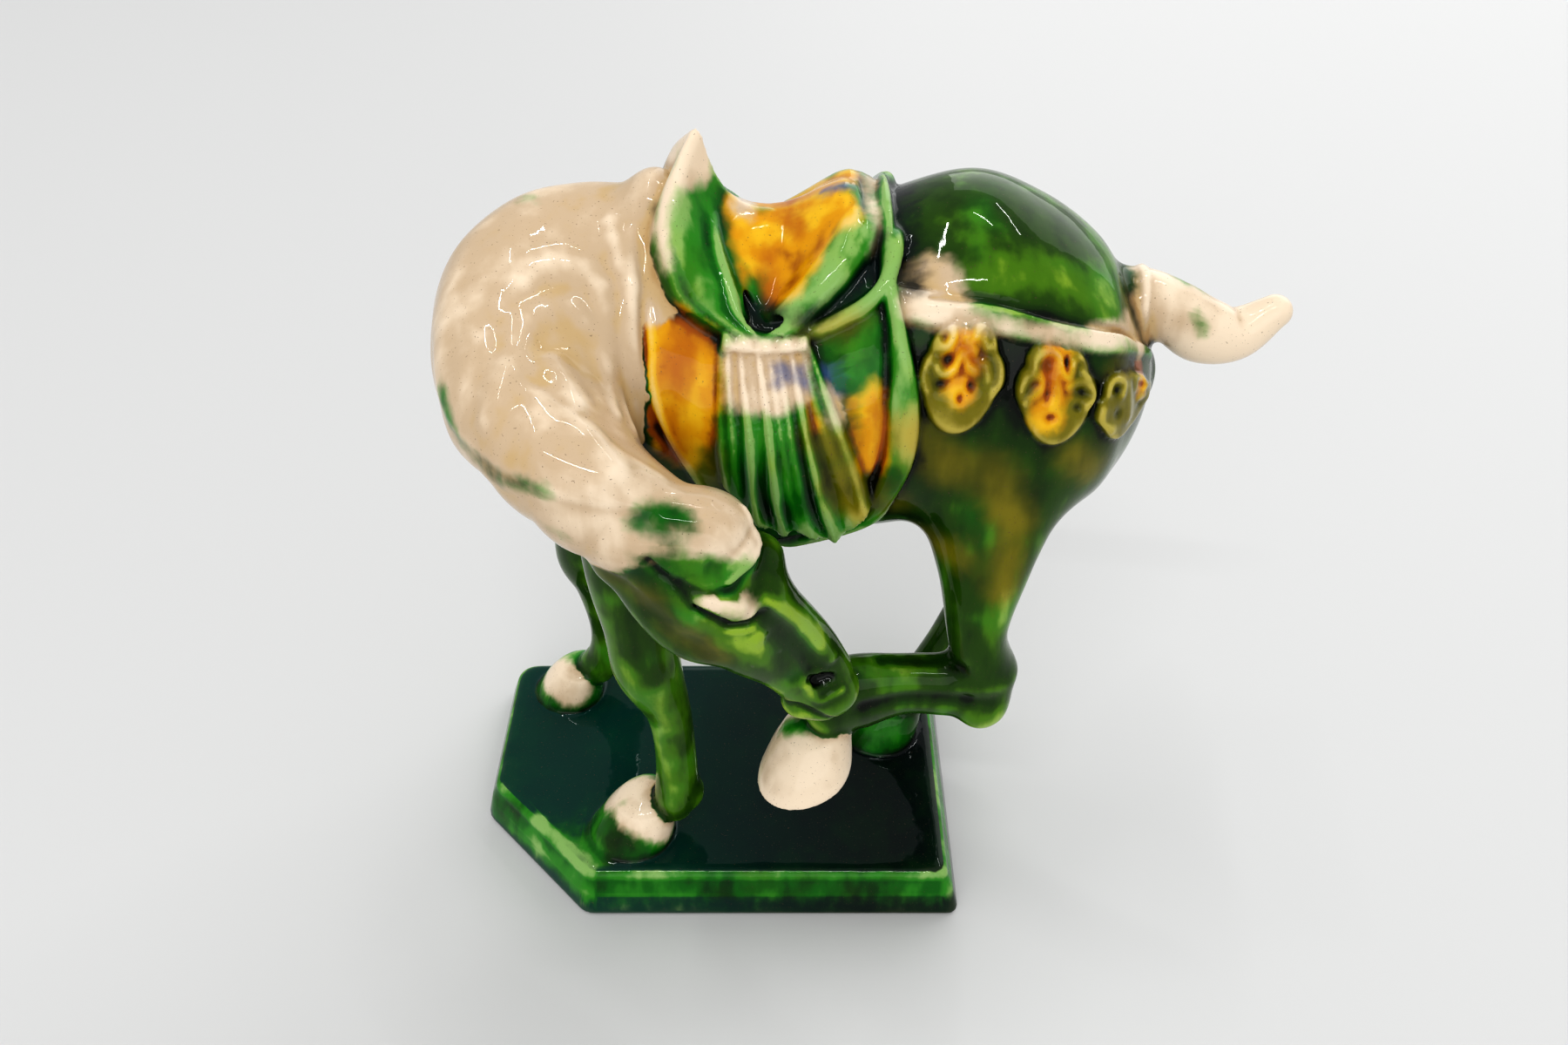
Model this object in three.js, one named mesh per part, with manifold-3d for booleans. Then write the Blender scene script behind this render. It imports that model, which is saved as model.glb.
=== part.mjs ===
// A glazed pottery horse on its plinth, bending its neck round to nibble the hind leg it lifts.
// Millimetres, +Z up, head end towards -X. The horse turns its head to its left, towards -Y.
// The origin is the middle of the plinth's underside. Horse and plinth are one fired casting.
import * as THREE from "three";
import { mergeVertices } from "three/addons/utils/BufferGeometryUtils.js";
import Module from "manifold-3d";

const wasm = await Module();
wasm.setup();

// Plinth
const plinthLength = 123;
const plinthWidth = 73.6;
const plinthHeight = 14;
const plinthFlare = 3.1;
const plinthCornerCut = 29;
const plinthCornerRound = 6;
const plinthEdgeRound = 3;

// Horse, from the plinth's top to the pommel's tip. Its stations are in parts of that height.
const horseHeight = 184;
const heightParts = 184;
const share = horseHeight / heightParts;

// Harness, as real sizes
const blanketLift = 1.6;
const blanketRimWidth = 6;
const blanketRimLift = 1.4;
const padRimRadius = 1.5;
const padRimSink = 4.8;
const gatherLift = 3.3;
const skirtLift = 1.8;
const pleatDepth = 1.5;
const pleatCount = 6;
const bandEdgeLift = 1.2;
const strapWidth = 5.6;
const strapEdgeShare = 0.4;
const strapLift = 1.1;
const medallionWidth = 15;
const medallionHeight = 19;
const medallionLift = 1.9;
const reliefDepth = 1.1;
const tailRingRadius = 1.2;
const tailRingPlace = 0.23;

// Hooves, as real sizes
const hoofTopRadius = 7.2;
const hoofRimRadius = 11;
const hoofSink = 1;
const hoofDome = 2;
const hoofHeight = 11.5;
const hoofSlope = 4.5;
const farHoofScale = 0.88;
const hoofToe = 1.15;
const hoofHeel = 0.9;
const hoofRings = [
  { drop: 0, flare: 0.1 },
  { drop: 0.15, flare: 0.35 },
  { drop: 0.55, flare: 0.75 },
  { drop: 1, flare: 1 },
];

// A station is one section of a limb: its middle, its half width, and its half depth towards
// its crest and away from it. Heights are above the plinth's top.
const trunk = [
  { at: [-34, 0, 132], side: 12, up: 13, down: 18 },
  { at: [-22, 0, 132], side: 23, up: 30, down: 30 },
  { at: [-4, 0, 132], side: 27.5, up: 31, down: 36 },
  { at: [17, 0, 132], side: 30, up: 28, down: 37.5 },
  { at: [38, 0, 132], side: 31, up: 37, down: 33.5 },
  { at: [55, 0, 132], side: 31.5, up: 42, down: 29 },
  { at: [69, 0, 132], side: 31, up: 36.8, down: 30 },
  { at: [80.5, 0, 132], side: 26.8, up: 28.6, down: 28 },
  { at: [86.5, 0, 132], side: 19.5, up: 20, down: 24 },
  { at: [91.3, 0, 132], side: 12, up: 12, down: 17 },
  { at: [94.2, 0, 132], side: 5, up: 4.5, down: 8 },
];
const neck = [
  { at: [6, 0, 138], side: 22, up: 27, down: 34, crest: [0, 0, 1] },
  { at: [-12, -2, 143], side: 21.5, up: 29.2, down: 36, crest: [-0.25, 0, 1] },
  { at: [-23, -11, 145], side: 19, up: 27.8, down: 27, crest: [-0.7, -0.1, 0.7] },
  { at: [-25, -28, 142], side: 15.2, up: 20.3, down: 20, crest: [-0.75, -0.4, 0.55] },
  { at: [-16.6, -41.8, 136.3], side: 12, up: 16, down: 14.5, crest: [-0.3, -0.5, 0.8] },
  { at: [-4.5, -48, 128.1], side: 10, up: 12.5, down: 10, crest: [0.2, -0.3, 0.9] },
  { at: [4, -49.5, 121], side: 9, up: 11, down: 9.5, crest: [0.6, -0.2, 0.7] },
];
const head = [
  { at: [0, -50, 124], side: 8.5, up: 11, down: 9 },
  { at: [6, -50, 114.5], side: 9, up: 14.6, down: 10.5 },
  { at: [11, -49, 105.5], side: 8.7, up: 13.8, down: 8.4 },
  { at: [17, -47.5, 96.5], side: 7, up: 10.8, down: 5.6 },
  { at: [22, -46, 88.5], side: 6.2, up: 8.3, down: 5.8 },
  { at: [26, -45, 82.5], side: 6.3, up: 6.5, down: 6.6 },
];
const chest = [
  { at: [-16, 0, 150], side: 17, up: 14, down: 20 },
  { at: [-21, 0, 131], side: 23, up: 17, down: 24 },
  { at: [-25, 2, 112], side: 22, up: 15, down: 24 },
  { at: [-25, 3, 98], side: 13, up: 9, down: 18 },
];
const nearFore = [
  { at: [-6, -11, 130], side: 14, up: 18, down: 18 },
  { at: [-12, -16, 110], side: 12, up: 14, down: 15 },
  { at: [-14.8, -20, 94], side: 9.2, up: 10, down: 10.5 },
  { at: [-14.2, -22, 79], side: 7.5, up: 7.8, down: 8.2 },
  { at: [-13, -22, 64], side: 7.6, up: 8, down: 7.6 },
  { at: [-9.4, -22, 50], side: 5.4, up: 5.4, down: 5.6 },
  { at: [-8.6, -22, 33], side: 5, up: 4.9, down: 5.3 },
  { at: [-9, -22, 18], side: 6, up: 6, down: 5.8 },
  { at: [-11, -22, 10.5], side: 5.6, up: 5.4, down: 5.4 },
];
const farFore = [
  { at: [-14, 9, 130], side: 15, up: 19, down: 18 },
  { at: [-23, 13, 110], side: 13, up: 15, down: 15 },
  { at: [-27.8, 18, 92], side: 9.5, up: 10, down: 11 },
  { at: [-31.4, 22, 74], side: 7.5, up: 7.8, down: 8 },
  { at: [-33.2, 24, 57], side: 7.2, up: 7.6, down: 7 },
  { at: [-32, 25, 44], side: 5, up: 5.3, down: 5.3 },
  { at: [-31, 26, 28], side: 4.5, up: 4.7, down: 4.7 },
  { at: [-31.8, 26, 17], side: 5.5, up: 5.5, down: 5.7 },
  { at: [-36, 26, 10], side: 5.3, up: 5.3, down: 5.3 },
];
const nearThigh = [
  { at: [60, -12, 136], side: 16, up: 20, down: 22 },
  { at: [61, -19, 121], side: 13, up: 18, down: 18 },
  { at: [61, -28, 103], side: 10, up: 11, down: 9 },
  { at: [61, -32, 88], side: 8, up: 7.8, down: 5.2 },
  { at: [62.5, -34, 77.5], side: 6.8, up: 7.5, down: 6.8 },
];
const nearCannon = [
  { at: [65, -34, 71.5], side: 6.5, up: 8.2, down: 9 },
  { at: [56, -34, 71.5], side: 6, up: 8, down: 8 },
  { at: [45, -34, 72], side: 5.6, up: 7.8, down: 8.4 },
  { at: [34, -35, 70.5], side: 6.5, up: 10, down: 10.2 },
  { at: [27, -37, 66], side: 6.3, up: 8, down: 8.4 },
];
const farHind = [
  { at: [60, 10, 136], side: 15, up: 22, down: 24 },
  { at: [64, 14, 114], side: 12, up: 17, down: 18 },
  { at: [67, 14, 91], side: 9, up: 10.5, down: 12 },
  { at: [70, 13, 70], side: 7, up: 8, down: 8 },
  { at: [70.5, 13, 56], side: 6.5, up: 7.5, down: 8 },
  { at: [64, 12, 40], side: 5, up: 5.8, down: 6 },
  { at: [58, 12, 26], side: 4.8, up: 5.2, down: 5.2 },
  { at: [54.5, 12, 16], side: 6, up: 6, down: 6.2 },
  { at: [50.5, 12, 10], side: 5.5, up: 5.5, down: 5.5 },
];
const tail = [
  { at: [77, 0, 143], side: 10, up: 10, down: 9.5 },
  { at: [88, -0.5, 148], side: 7.2, up: 7.3, down: 6.6 },
  { at: [96, -1.5, 146.5], side: 6.2, up: 6.6, down: 6.2 },
  { at: [103, -2, 142.6], side: 6.3, up: 6.8, down: 6.6 },
  { at: [110, -2, 142], side: 5.4, up: 5.6, down: 5.4 },
  { at: [116.5, -2, 147], side: 3.4, up: 3.6, down: 3.4 },
];
const pommel = [
  { at: [2.6, 0.5, 181.6], side: 2.2, up: 2.5, down: 3 },
  { at: [2.2, -4, 176], side: 4.2, up: 3.5, down: 4 },
  { at: [2.2, -10, 168.5], side: 5.4, up: 4, down: 5 },
  { at: [4.4, -15.5, 161], side: 5, up: 4, down: 5 },
  { at: [10.5, -19, 154.5], side: 2.6, up: 2.6, down: 4 },
];
const cantle = [
  { at: [31.5, 0.5, 169.5], side: 3.2, up: 3, down: 4 },
  { at: [32.5, -6, 168], side: 4.2, up: 3.6, down: 4 },
  { at: [31.8, -12, 164], side: 4.4, up: 4, down: 5 },
  { at: [28, -17, 159.5], side: 4, up: 3.6, down: 5 },
  { at: [20.5, -19.5, 155.5], side: 2.4, up: 2.4, down: 4 },
];
const seat = [
  { at: [16, -18, 154], side: 4, up: 1.5, down: 6 },
  { at: [16.5, -11, 163], side: 9, up: 2, down: 8 },
  { at: [17.5, 0, 166], side: 13, up: 2.5, down: 8 },
];

// Front and rear edge of the blanket, in equal turns from its hem up to the back
const blanketHem = -46;
const blanketFront = [14, 7, 1.6, -3.4, -6.6, -7, -7.4, -7.2, -6.8];
const blanketRear = [20, 36.3, 41, 43.5, 43.6, 40.8, 38.8, 39, 39];

// Edge of the saddle pad from the back in front, round the side, to the back behind
const padEdge = [
  [0, 90],
  [-1.5, 74],
  [-1, 60],
  [3, 51],
  [9, 47.4],
  [16, 46.8],
  [24.5, 46.6],
  [34, 50.3],
  [38, 58.5],
  [39.3, 73],
  [39, 90],
];

// Places along the horse and turns round the trunk of the pleated skirt, the band that gathers
// it and the strap over the rump
const skirtPlace = { left: 6.6, leftFlare: 1, right: 24, rightFlare: 12, top: 42, drop: 51, sag: 10 };
const skirtHem = { swing: 3.5, waves: 3, start: 0.8 };
const bandPlace = { left: 6.9, right: 23.6, low: 40, high: 50, slope: 2.4 };
const strapPlace = { front: 39, rear: 92, lowest: 38.8, lowestAt: 66, rise: 0.012 };

// Place along the horse and turn round the trunk of each medallion
const medallionPlaces = [
  [50.8, 25.5],
  [68.8, 22],
  [84.6, 17],
];

const trunkCrest = [0, 0, 1];
const legCrest = [-1, 0, 0];
const headCrest = [0.87, -0.18, 0.46];
const saddleCrest = [0, -0.6, 1];

function place([x, y, z]) {
  return new THREE.Vector3(x * share, y * share, z * share + plinthHeight);
}

function solidOf(geometry) {
  const plain = geometry.clone();
  plain.deleteAttribute("normal");
  plain.deleteAttribute("uv");
  const merged = mergeVertices(plain, 1e-4);
  const solid = new wasm.Manifold(
    new wasm.Mesh({
      numProp: 3,
      vertProperties: new Float32Array(merged.attributes.position.array),
      triVerts: new Uint32Array(merged.index.array),
    }),
  );
  return solid;
}

// A smooth curve through equally spaced values, for t from 0 to 1
function through(values, t) {
  const last = values.length - 1;
  const s = Math.min(Math.max(t, 0), 1) * last;
  const i = Math.min(Math.floor(s), last - 1);
  const f = s - i;
  const p1 = values[i];
  const p2 = values[i + 1];
  const p0 = i > 0 ? values[i - 1] : 2 * p1 - p2;
  const p3 = i < last - 1 ? values[i + 2] : 2 * p2 - p1;
  const linear = (p2 - p0) * f;
  const square = (2 * p0 - 5 * p1 + 4 * p2 - p3) * f * f;
  const cube = (3 * p1 - p0 - 3 * p2 + p3) * f ** 3;
  return 0.5 * (2 * p1 + linear + square + cube);
}

// The section of a limb at t: middle, direction, crest and side vectors, and half sizes
function sectionAt(stations, t, crest) {
  const axes = [0, 1, 2];
  const middle = (s) => axes.map((k) => through(stations.map((one) => one.at[k]), s));
  const step = 1e-3;
  const ahead = new THREE.Vector3(...middle(Math.min(t + step, 1)));
  const behind = new THREE.Vector3(...middle(Math.max(t - step, 0)));
  const along = ahead.sub(behind).normalize();
  const lean = axes.map((k) => through(stations.map((one) => (one.crest ?? crest)[k]), t));
  const up = new THREE.Vector3(...lean);
  up.addScaledVector(along, -up.dot(along)).normalize();
  const side = new THREE.Vector3().crossVectors(along, up);
  const size = (name) => share * through(stations.map((one) => one[name]), t);
  return {
    at: place(middle(t)),
    along,
    up,
    side,
    halfSide: size("side"),
    halfUp: size("up"),
    halfDown: size("down"),
  };
}

function sectionPoint(section, angle, shrink = 1, push = 0, lift = 0) {
  const rise = Math.sin(angle);
  const reach = rise > 0 ? section.halfUp : section.halfDown;
  const across = Math.cos(angle);
  return section.at
    .clone()
    .addScaledVector(section.along, push)
    .addScaledVector(section.side, across * (section.halfSide * shrink + lift))
    .addScaledVector(section.up, rise * (reach * shrink + lift));
}

// A closed solid over rows of points: each row is a closed ring, and each end closes on a tip
function skinOf(rows, firstTip, lastTip) {
  const sides = rows[0].length;
  const points = [...rows.flat(), firstTip, lastTip];
  const index = [];
  for (let r = 0; r < rows.length - 1; r++) {
    for (let k = 0; k < sides; k++) {
      const next = (k + 1) % sides;
      const here = r * sides;
      const there = here + sides;
      index.push(here + k, here + next, there + next);
      index.push(here + k, there + next, there + k);
    }
  }
  const tip = rows.length * sides;
  const lastRow = (rows.length - 1) * sides;
  for (let k = 0; k < sides; k++) {
    const next = (k + 1) % sides;
    index.push(tip, next, k);
    index.push(tip + 1, lastRow + k, lastRow + next);
  }
  return closedSolid(points, index);
}

// Turns the faces over where they point inwards
function closedSolid(points, index) {
  const geometry = new THREE.BufferGeometry().setFromPoints(points);
  geometry.setIndex(index);
  const solid = solidOf(geometry);
  if (solid.volume() > 0) return solid;
  const turned = [];
  for (let i = 0; i < index.length; i += 3) turned.push(index[i], index[i + 2], index[i + 1]);
  geometry.setIndex(turned);
  return solidOf(geometry);
}

// A limb: a closed skin through its stations with a domed end at each end.
// lift(t, angle) raises the skin, for locks and folds.
function limb(stations, { crest = trunkCrest, rings, sides, domes = [0.6, 0.6], lift = () => 0 }) {
  const domeSteps = 2;
  const rows = [];
  const row = (t, shrink, push) => {
    const section = sectionAt(stations, t, crest);
    const ring = [];
    for (let k = 0; k < sides; k++) {
      const angle = (2 * Math.PI * k) / sides;
      ring.push(sectionPoint(section, angle, shrink, push, lift(t, angle) * shrink));
    }
    rows.push(ring);
  };
  const ends = [sectionAt(stations, 0, crest), sectionAt(stations, 1, crest)];
  const reach = ends.map((s, i) => domes[i] * Math.min(s.halfSide, s.halfUp, s.halfDown));
  for (let i = 1; i <= domeSteps; i++) {
    const turn = (Math.PI / 2) * (i / (domeSteps + 1));
    row(0, Math.sin(turn), -reach[0] * Math.cos(turn));
  }
  for (let i = 0; i < rings; i++) row(i / (rings - 1), 1, 0);
  for (let i = domeSteps; i >= 1; i--) {
    const turn = (Math.PI / 2) * (i / (domeSteps + 1));
    row(1, Math.sin(turn), reach[1] * Math.cos(turn));
  }
  const tips = ends.map((s, i) => s.at.clone().addScaledVector(s.along, (i ? 1 : -1) * reach[i]));
  return skinOf(rows, tips[0], tips[1]);
}

function mirrored(stations) {
  return stations.map((one) => ({ ...one, at: [one.at[0], -one.at[1], one.at[2]] }));
}

// Places on the trunk's skin: x is along the horse as drawn, degrees go from 0 at the near side
// over 90 at the back to 180 at the far side
function trunkShareAt(x) {
  let low = 0;
  let high = 1;
  const places = trunk.map((one) => one.at[0]);
  for (let i = 0; i < 30; i++) {
    const middle = (low + high) / 2;
    if (through(places, middle) < x) low = middle;
    else high = middle;
  }
  return (low + high) / 2;
}

function onTrunk(x, degrees, lift) {
  const section = sectionAt(trunk, trunkShareAt(x), trunkCrest);
  return sectionPoint(section, THREE.MathUtils.degToRad(degrees), 1, 0, lift);
}

// A slab that lies on the trunk: where(u, v) gives x and degrees, lift(u, v) its height there
function slab(us, vs, where, lift, depth) {
  const points = [];
  const layer = (height) => {
    for (const v of vs) for (const u of us) points.push(onTrunk(...where(u, v), height(u, v)));
  };
  layer(lift);
  layer(() => -depth);
  const index = [];
  const wide = us.length;
  const half = us.length * vs.length;
  const quad = (a, b, c, d) => index.push(a, b, c, a, c, d);
  for (let j = 0; j < vs.length - 1; j++) {
    for (let i = 0; i < wide - 1; i++) {
      const a = j * wide + i;
      quad(a, a + 1, a + wide + 1, a + wide);
      quad(half + a, half + a + wide, half + a + wide + 1, half + a + 1);
    }
  }
  const edge = [];
  for (let i = 0; i < wide - 1; i++) edge.push(i);
  for (let j = 0; j < vs.length - 1; j++) edge.push(j * wide + wide - 1);
  for (let i = wide - 1; i > 0; i--) edge.push((vs.length - 1) * wide + i);
  for (let j = vs.length - 1; j > 0; j--) edge.push(j * wide);
  for (let k = 0; k < edge.length; k++) {
    const a = edge[k];
    const b = edge[(k + 1) % edge.length];
    quad(b, a, half + a, half + b);
  }
  return closedSolid(points, index);
}

function steps(count) {
  return Array.from({ length: count + 1 }, (_, i) => i / count);
}

function roll(points, radius) {
  const path = new THREE.CatmullRomCurve3(points);
  const section = new THREE.Shape().absarc(0, 0, radius, 0, 2 * Math.PI, false);
  const sweep = { steps: points.length, extrudePath: path, curveSegments: 4, bevelEnabled: false };
  return solidOf(new THREE.ExtrudeGeometry(section, sweep));
}

function ball(at, size, turn = [0, 0, 0]) {
  const geometry = new THREE.SphereGeometry(1, 8, 6);
  geometry.scale(...size.map((one) => one * share));
  geometry.applyMatrix4(new THREE.Matrix4().makeRotationFromEuler(new THREE.Euler(...turn)));
  const middle = place(at);
  geometry.translate(middle.x, middle.y, middle.z);
  return solidOf(geometry);
}

function joined(solids) {
  return solids.reduce((all, one) => all.add(one));
}

// Plinth: one outline with the near left corner cut off, stacked so that its sides flare
// downwards and its top edge is rounded
function plinthOutline(inset) {
  const x = plinthLength / 2 - inset;
  const y = plinthWidth / 2 - inset;
  const cut = plinthCornerCut - inset * (2 - Math.SQRT2);
  const corners = [
    [-x + cut, -y, 2],
    [x, -y, 3],
    [x, y, plinthCornerRound],
    [-x, y, plinthCornerRound],
    [-x, -y + cut, 2],
  ];
  return roundedOutline(corners.map(([cx, cy, r]) => ({ at: new THREE.Vector2(cx, cy), round: r })));
}

function roundedOutline(corners) {
  const outline = [];
  const cornerSteps = 3;
  corners.forEach((corner, i) => {
    const before = corners[(i + corners.length - 1) % corners.length].at;
    const after = corners[(i + 1) % corners.length].at;
    const from = before.clone().sub(corner.at).setLength(corner.round).add(corner.at);
    const to = after.clone().sub(corner.at).setLength(corner.round).add(corner.at);
    const bend = new THREE.QuadraticBezierCurve(from, corner.at, to);
    outline.push(...bend.getPoints(cornerSteps));
  });
  return outline;
}

function plinth() {
  const top = plinthHeight;
  const rows = [
    [-plinthFlare, 0],
    [0, top - plinthEdgeRound],
    [plinthEdgeRound * 0.3, top - plinthEdgeRound * 0.3],
    [plinthEdgeRound, top],
  ].map(([inset, z]) => plinthOutline(inset).map((p) => new THREE.Vector3(p.x, p.y, z)));
  return skinOf(rows, new THREE.Vector3(0, 0, 0), new THREE.Vector3(0, 0, top));
}

// Hooves: rings from the coronet to the rim, all square to one axis
function hoof({ top, sole, axis, toe, scale = 1 }) {
  const down = new THREE.Vector3(...axis).normalize();
  const front = new THREE.Vector3(...toe);
  front.addScaledVector(down, -front.dot(down)).normalize();
  const across = new THREE.Vector3().crossVectors(down, front);
  const sides = 10;
  const rows = hoofRings.map(({ drop, flare }) => {
    const middle = top.clone().lerp(sole, drop);
    const radius = scale * THREE.MathUtils.lerp(hoofTopRadius, hoofRimRadius, flare);
    return Array.from({ length: sides }, (_, k) => {
      const angle = (2 * Math.PI * k) / sides;
      const ahead = Math.cos(angle) * radius * (Math.cos(angle) > 0 ? hoofToe : hoofHeel);
      return middle
        .clone()
        .addScaledVector(front, ahead)
        .addScaledVector(across, Math.sin(angle) * radius);
    });
  });
  return skinOf(rows, top.clone().addScaledVector(down, -hoofDome), sole);
}

function standingHoof(x, y, toe, scale = 1) {
  const slope = hoofSlope * scale;
  const sole = place([x, y, 0]);
  const top = place([x - toe[0] * slope, y - toe[1] * slope, hoofHeight * scale]);
  sole.z = plinthHeight - hoofSink;
  return hoof({ top, sole, axis: [0, 0, -1], toe, scale });
}

function hooves() {
  const raised = {
    top: place([26.2, -37.5, 63]),
    sole: place([24, -41, 50.3]),
    axis: [0.3, 0.05, -1],
    toe: [-1, -0.5, 0],
  };
  return joined([
    standingHoof(-21, -22, [-0.94, -0.34, 0]),
    standingHoof(-44, 26, [-1, 0, 0], farHoofScale),
    standingHoof(46, 12, [-1, 0, 0]),
    hoof(raised),
  ]);
}

// Neck: folds of skin run along the inside of its bend, and locks of mane hang on the outside
const foldTurn = 24;
const foldStart = 112;
const foldTwist = 46;
const foldDepth = 1;
const lockCount = 11;
const lockLift = 1.1;

function bump(value, low, high) {
  if (value <= low || value >= high) return 0;
  return Math.sin((Math.PI * (value - low)) / (high - low));
}

function neckLift(t, angle) {
  const degrees = THREE.MathUtils.radToDeg(angle);
  const along = Math.abs(Math.sin((Math.PI * (degrees - foldStart - foldTwist * t)) / foldTurn));
  const fold = foldDepth * (along - 0.5) * bump(degrees, 100, 235) * bump(t, -0.05, 0.8);
  const lock = 0.4 + 0.6 * Math.abs(Math.sin(Math.PI * lockCount * t));
  const round = degrees > 270 ? degrees - 360 : degrees;
  return fold + lockLift * lock * bump(round, -45, 120) * bump(t, 0.05, 1);
}

function neckSolid() {
  return limb(neck, { rings: 24, sides: 18, lift: neckLift });
}

// Head: the long skull with cheeks, brows, nostrils, lips, ears and forelock
function headSolid() {
  const skull = limb(head, { crest: headCrest, rings: 10, sides: 14, domes: [0.8, 0.9] });
  const cheeks = [-1, 1].map((s) => ball([4, -49.5 + s * 3.5, 111.5], [7, 5.5, 9], [0, -0.6, 0]));
  const brows = [-1, 1].map((s) => ball([10, -50 + s * 6.5, 116], [4.2, 3.6, 5.5], [0, -0.5, 0]));
  const nostrils = [-1, 1].map((s) => ball([26.5, -45.5 + s * 4, 87], [4.4, 3.2, 4.4]));
  const forehead = ball([12.5, -46.5, 119], [6, 5.5, 8], [0, 0.4, 0]);
  const lip = ball([22, -46.5, 81.8], [4, 4.4, 3.2], [0, 0.6, 0]);
  const forelock = limb(
    [
      { at: [-4, -50, 134], side: 6, up: 4, down: 6 },
      { at: [4, -51, 132], side: 7.5, up: 5, down: 6 },
      { at: [11, -52, 125], side: 6, up: 4, down: 5 },
      { at: [14, -53, 119], side: 3, up: 2, down: 4 },
    ],
    { rings: 6, sides: 8 },
  );
  const ears = [-1, 1].map((s) => ball([-3, -51 + s * 8.5, 131], [7, 3.4, 4], [0, 0.6, 0.3 * s]));
  return joined([skull, forehead, ...cheeks, ...brows, ...nostrils, lip, forelock, ...ears]);
}

// Harness. A degree round the trunk is about this long on its skin.
const degreeLength = 0.6;
const slabDepth = 2;

function rimRise(distance, width) {
  return distance > 0 && distance < width ? Math.sin((Math.PI * distance) / width) ** 0.7 : 0;
}

function blanket() {
  const us = [0, 0.07, 0.14, 0.38, 0.62, 0.86, 0.93, 1];
  const vs = [0, 0.02, 0.04, ...steps(11).map((v) => 0.08 + 0.84 * v), 0.96, 0.98, 1];
  const turns = 180 - 2 * blanketHem;
  const edgeAt = (edge, v) => through(edge, 2 * Math.min(v, 1 - v));
  const where = (u, v) => {
    const x = THREE.MathUtils.lerp(edgeAt(blanketFront, v), edgeAt(blanketRear, v), u);
    return [x, blanketHem + turns * v];
  };
  const lift = (u, v) => {
    const fromSide = Math.min(u, 1 - u) * (edgeAt(blanketRear, v) - edgeAt(blanketFront, v));
    const fromEnd = Math.min(v, 1 - v) * turns * degreeLength;
    return blanketLift + blanketRimLift * rimRise(Math.min(fromSide, fromEnd), blanketRimWidth);
  };
  return slab(us, vs, where, lift, slabDepth);
}

function skirt(side) {
  const us = steps(pleatCount * 2);
  const vs = [0, 0.3, 0.65, 1];
  const where = (u, v) => {
    const hem = skirtHem.swing * v * Math.sin(skirtHem.waves * Math.PI * u + skirtHem.start);
    const sag = skirtPlace.sag * v * Math.sin(Math.PI * Math.min(1, 0.3 + u));
    const left = skirtPlace.left - skirtPlace.leftFlare * Math.sin((Math.PI * v) / 2);
    const right = skirtPlace.right + skirtPlace.rightFlare * v;
    const degrees = skirtPlace.top - skirtPlace.drop * v - sag + hem;
    return [THREE.MathUtils.lerp(left, right, u), mirroredTurn(degrees, side)];
  };
  const lift = (u, v) => {
    const pleat = Math.abs(Math.sin(Math.PI * pleatCount * u)) ** 0.6;
    return blanketLift + skirtLift * (0.5 + 0.5 * v) + pleatDepth * (pleat - 0.5) * (0.5 + 0.5 * v);
  };
  return slab(us, vs, where, lift, slabDepth);
}

function mirroredTurn(degrees, side) {
  return side < 0 ? degrees : 180 - degrees;
}

function padRim(side) {
  const points = padEdge.map(([x, degrees]) => {
    const sunk = padRimSink * Math.max(0, degrees - 60) / 30;
    return onTrunk(x, mirroredTurn(degrees, side), blanketLift + 0.6 - sunk);
  });
  return roll(points, padRimRadius);
}

function gatherBand(side) {
  const us = steps(3);
  const vs = [0, 0.12, 0.6, 1];
  const { left, right, low, high, slope } = bandPlace;
  const where = (u, v) => {
    const degrees = THREE.MathUtils.lerp(low, high - slope * u, v);
    return [THREE.MathUtils.lerp(left, right, u), mirroredTurn(degrees, side)];
  };
  const lift = (u, v) => blanketLift + (v > 0 && v < 1 ? gatherLift : bandEdgeLift);
  return slab(us, vs, where, lift, slabDepth);
}

function saddle() {
  const arch = { crest: saddleCrest, rings: 5, sides: 8 };
  const sides = [pommel, cantle].flatMap((one) => [
    limb(one, arch),
    limb(mirrored(one), { ...arch, crest: [0, 0.6, 1] }),
  ]);
  const seats = [seat, mirrored(seat)].map((one) => limb(one, { rings: 4, sides: 8 }));
  return joined([...sides, ...seats]);
}

function strap(side) {
  const us = steps(7);
  const vs = [0, 0.1, 0.9, 1];
  const where = (u, v) => {
    const x = THREE.MathUtils.lerp(strapPlace.front, strapPlace.rear, u);
    const curve = strapPlace.lowest + strapPlace.rise * (x - strapPlace.lowestAt) ** 2;
    return [x, mirroredTurn(curve + (strapWidth * (v - 0.5)) / degreeLength, side)];
  };
  const lift = (u, v) => strapLift * (v > 0 && v < 1 ? 1 : strapEdgeShare);
  return slab(us, vs, where, lift, slabDepth);
}

// Relief of a medallion at a across and b up, both from -1 to 1: two scrolls over a leaf
function palmette(a, b) {
  const spot = (x, y, size) => Math.exp(-((Math.abs(a) - x) ** 2 + (b - y) ** 2) / size ** 2);
  const scrolls = spot(0.5, 0.6, 0.3);
  const leaf = spot(0, 0.15, 0.3) + 0.8 * spot(0.42, -0.1, 0.24) + 0.7 * spot(0.1, -0.5, 0.32);
  return scrolls + leaf;
}

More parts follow.
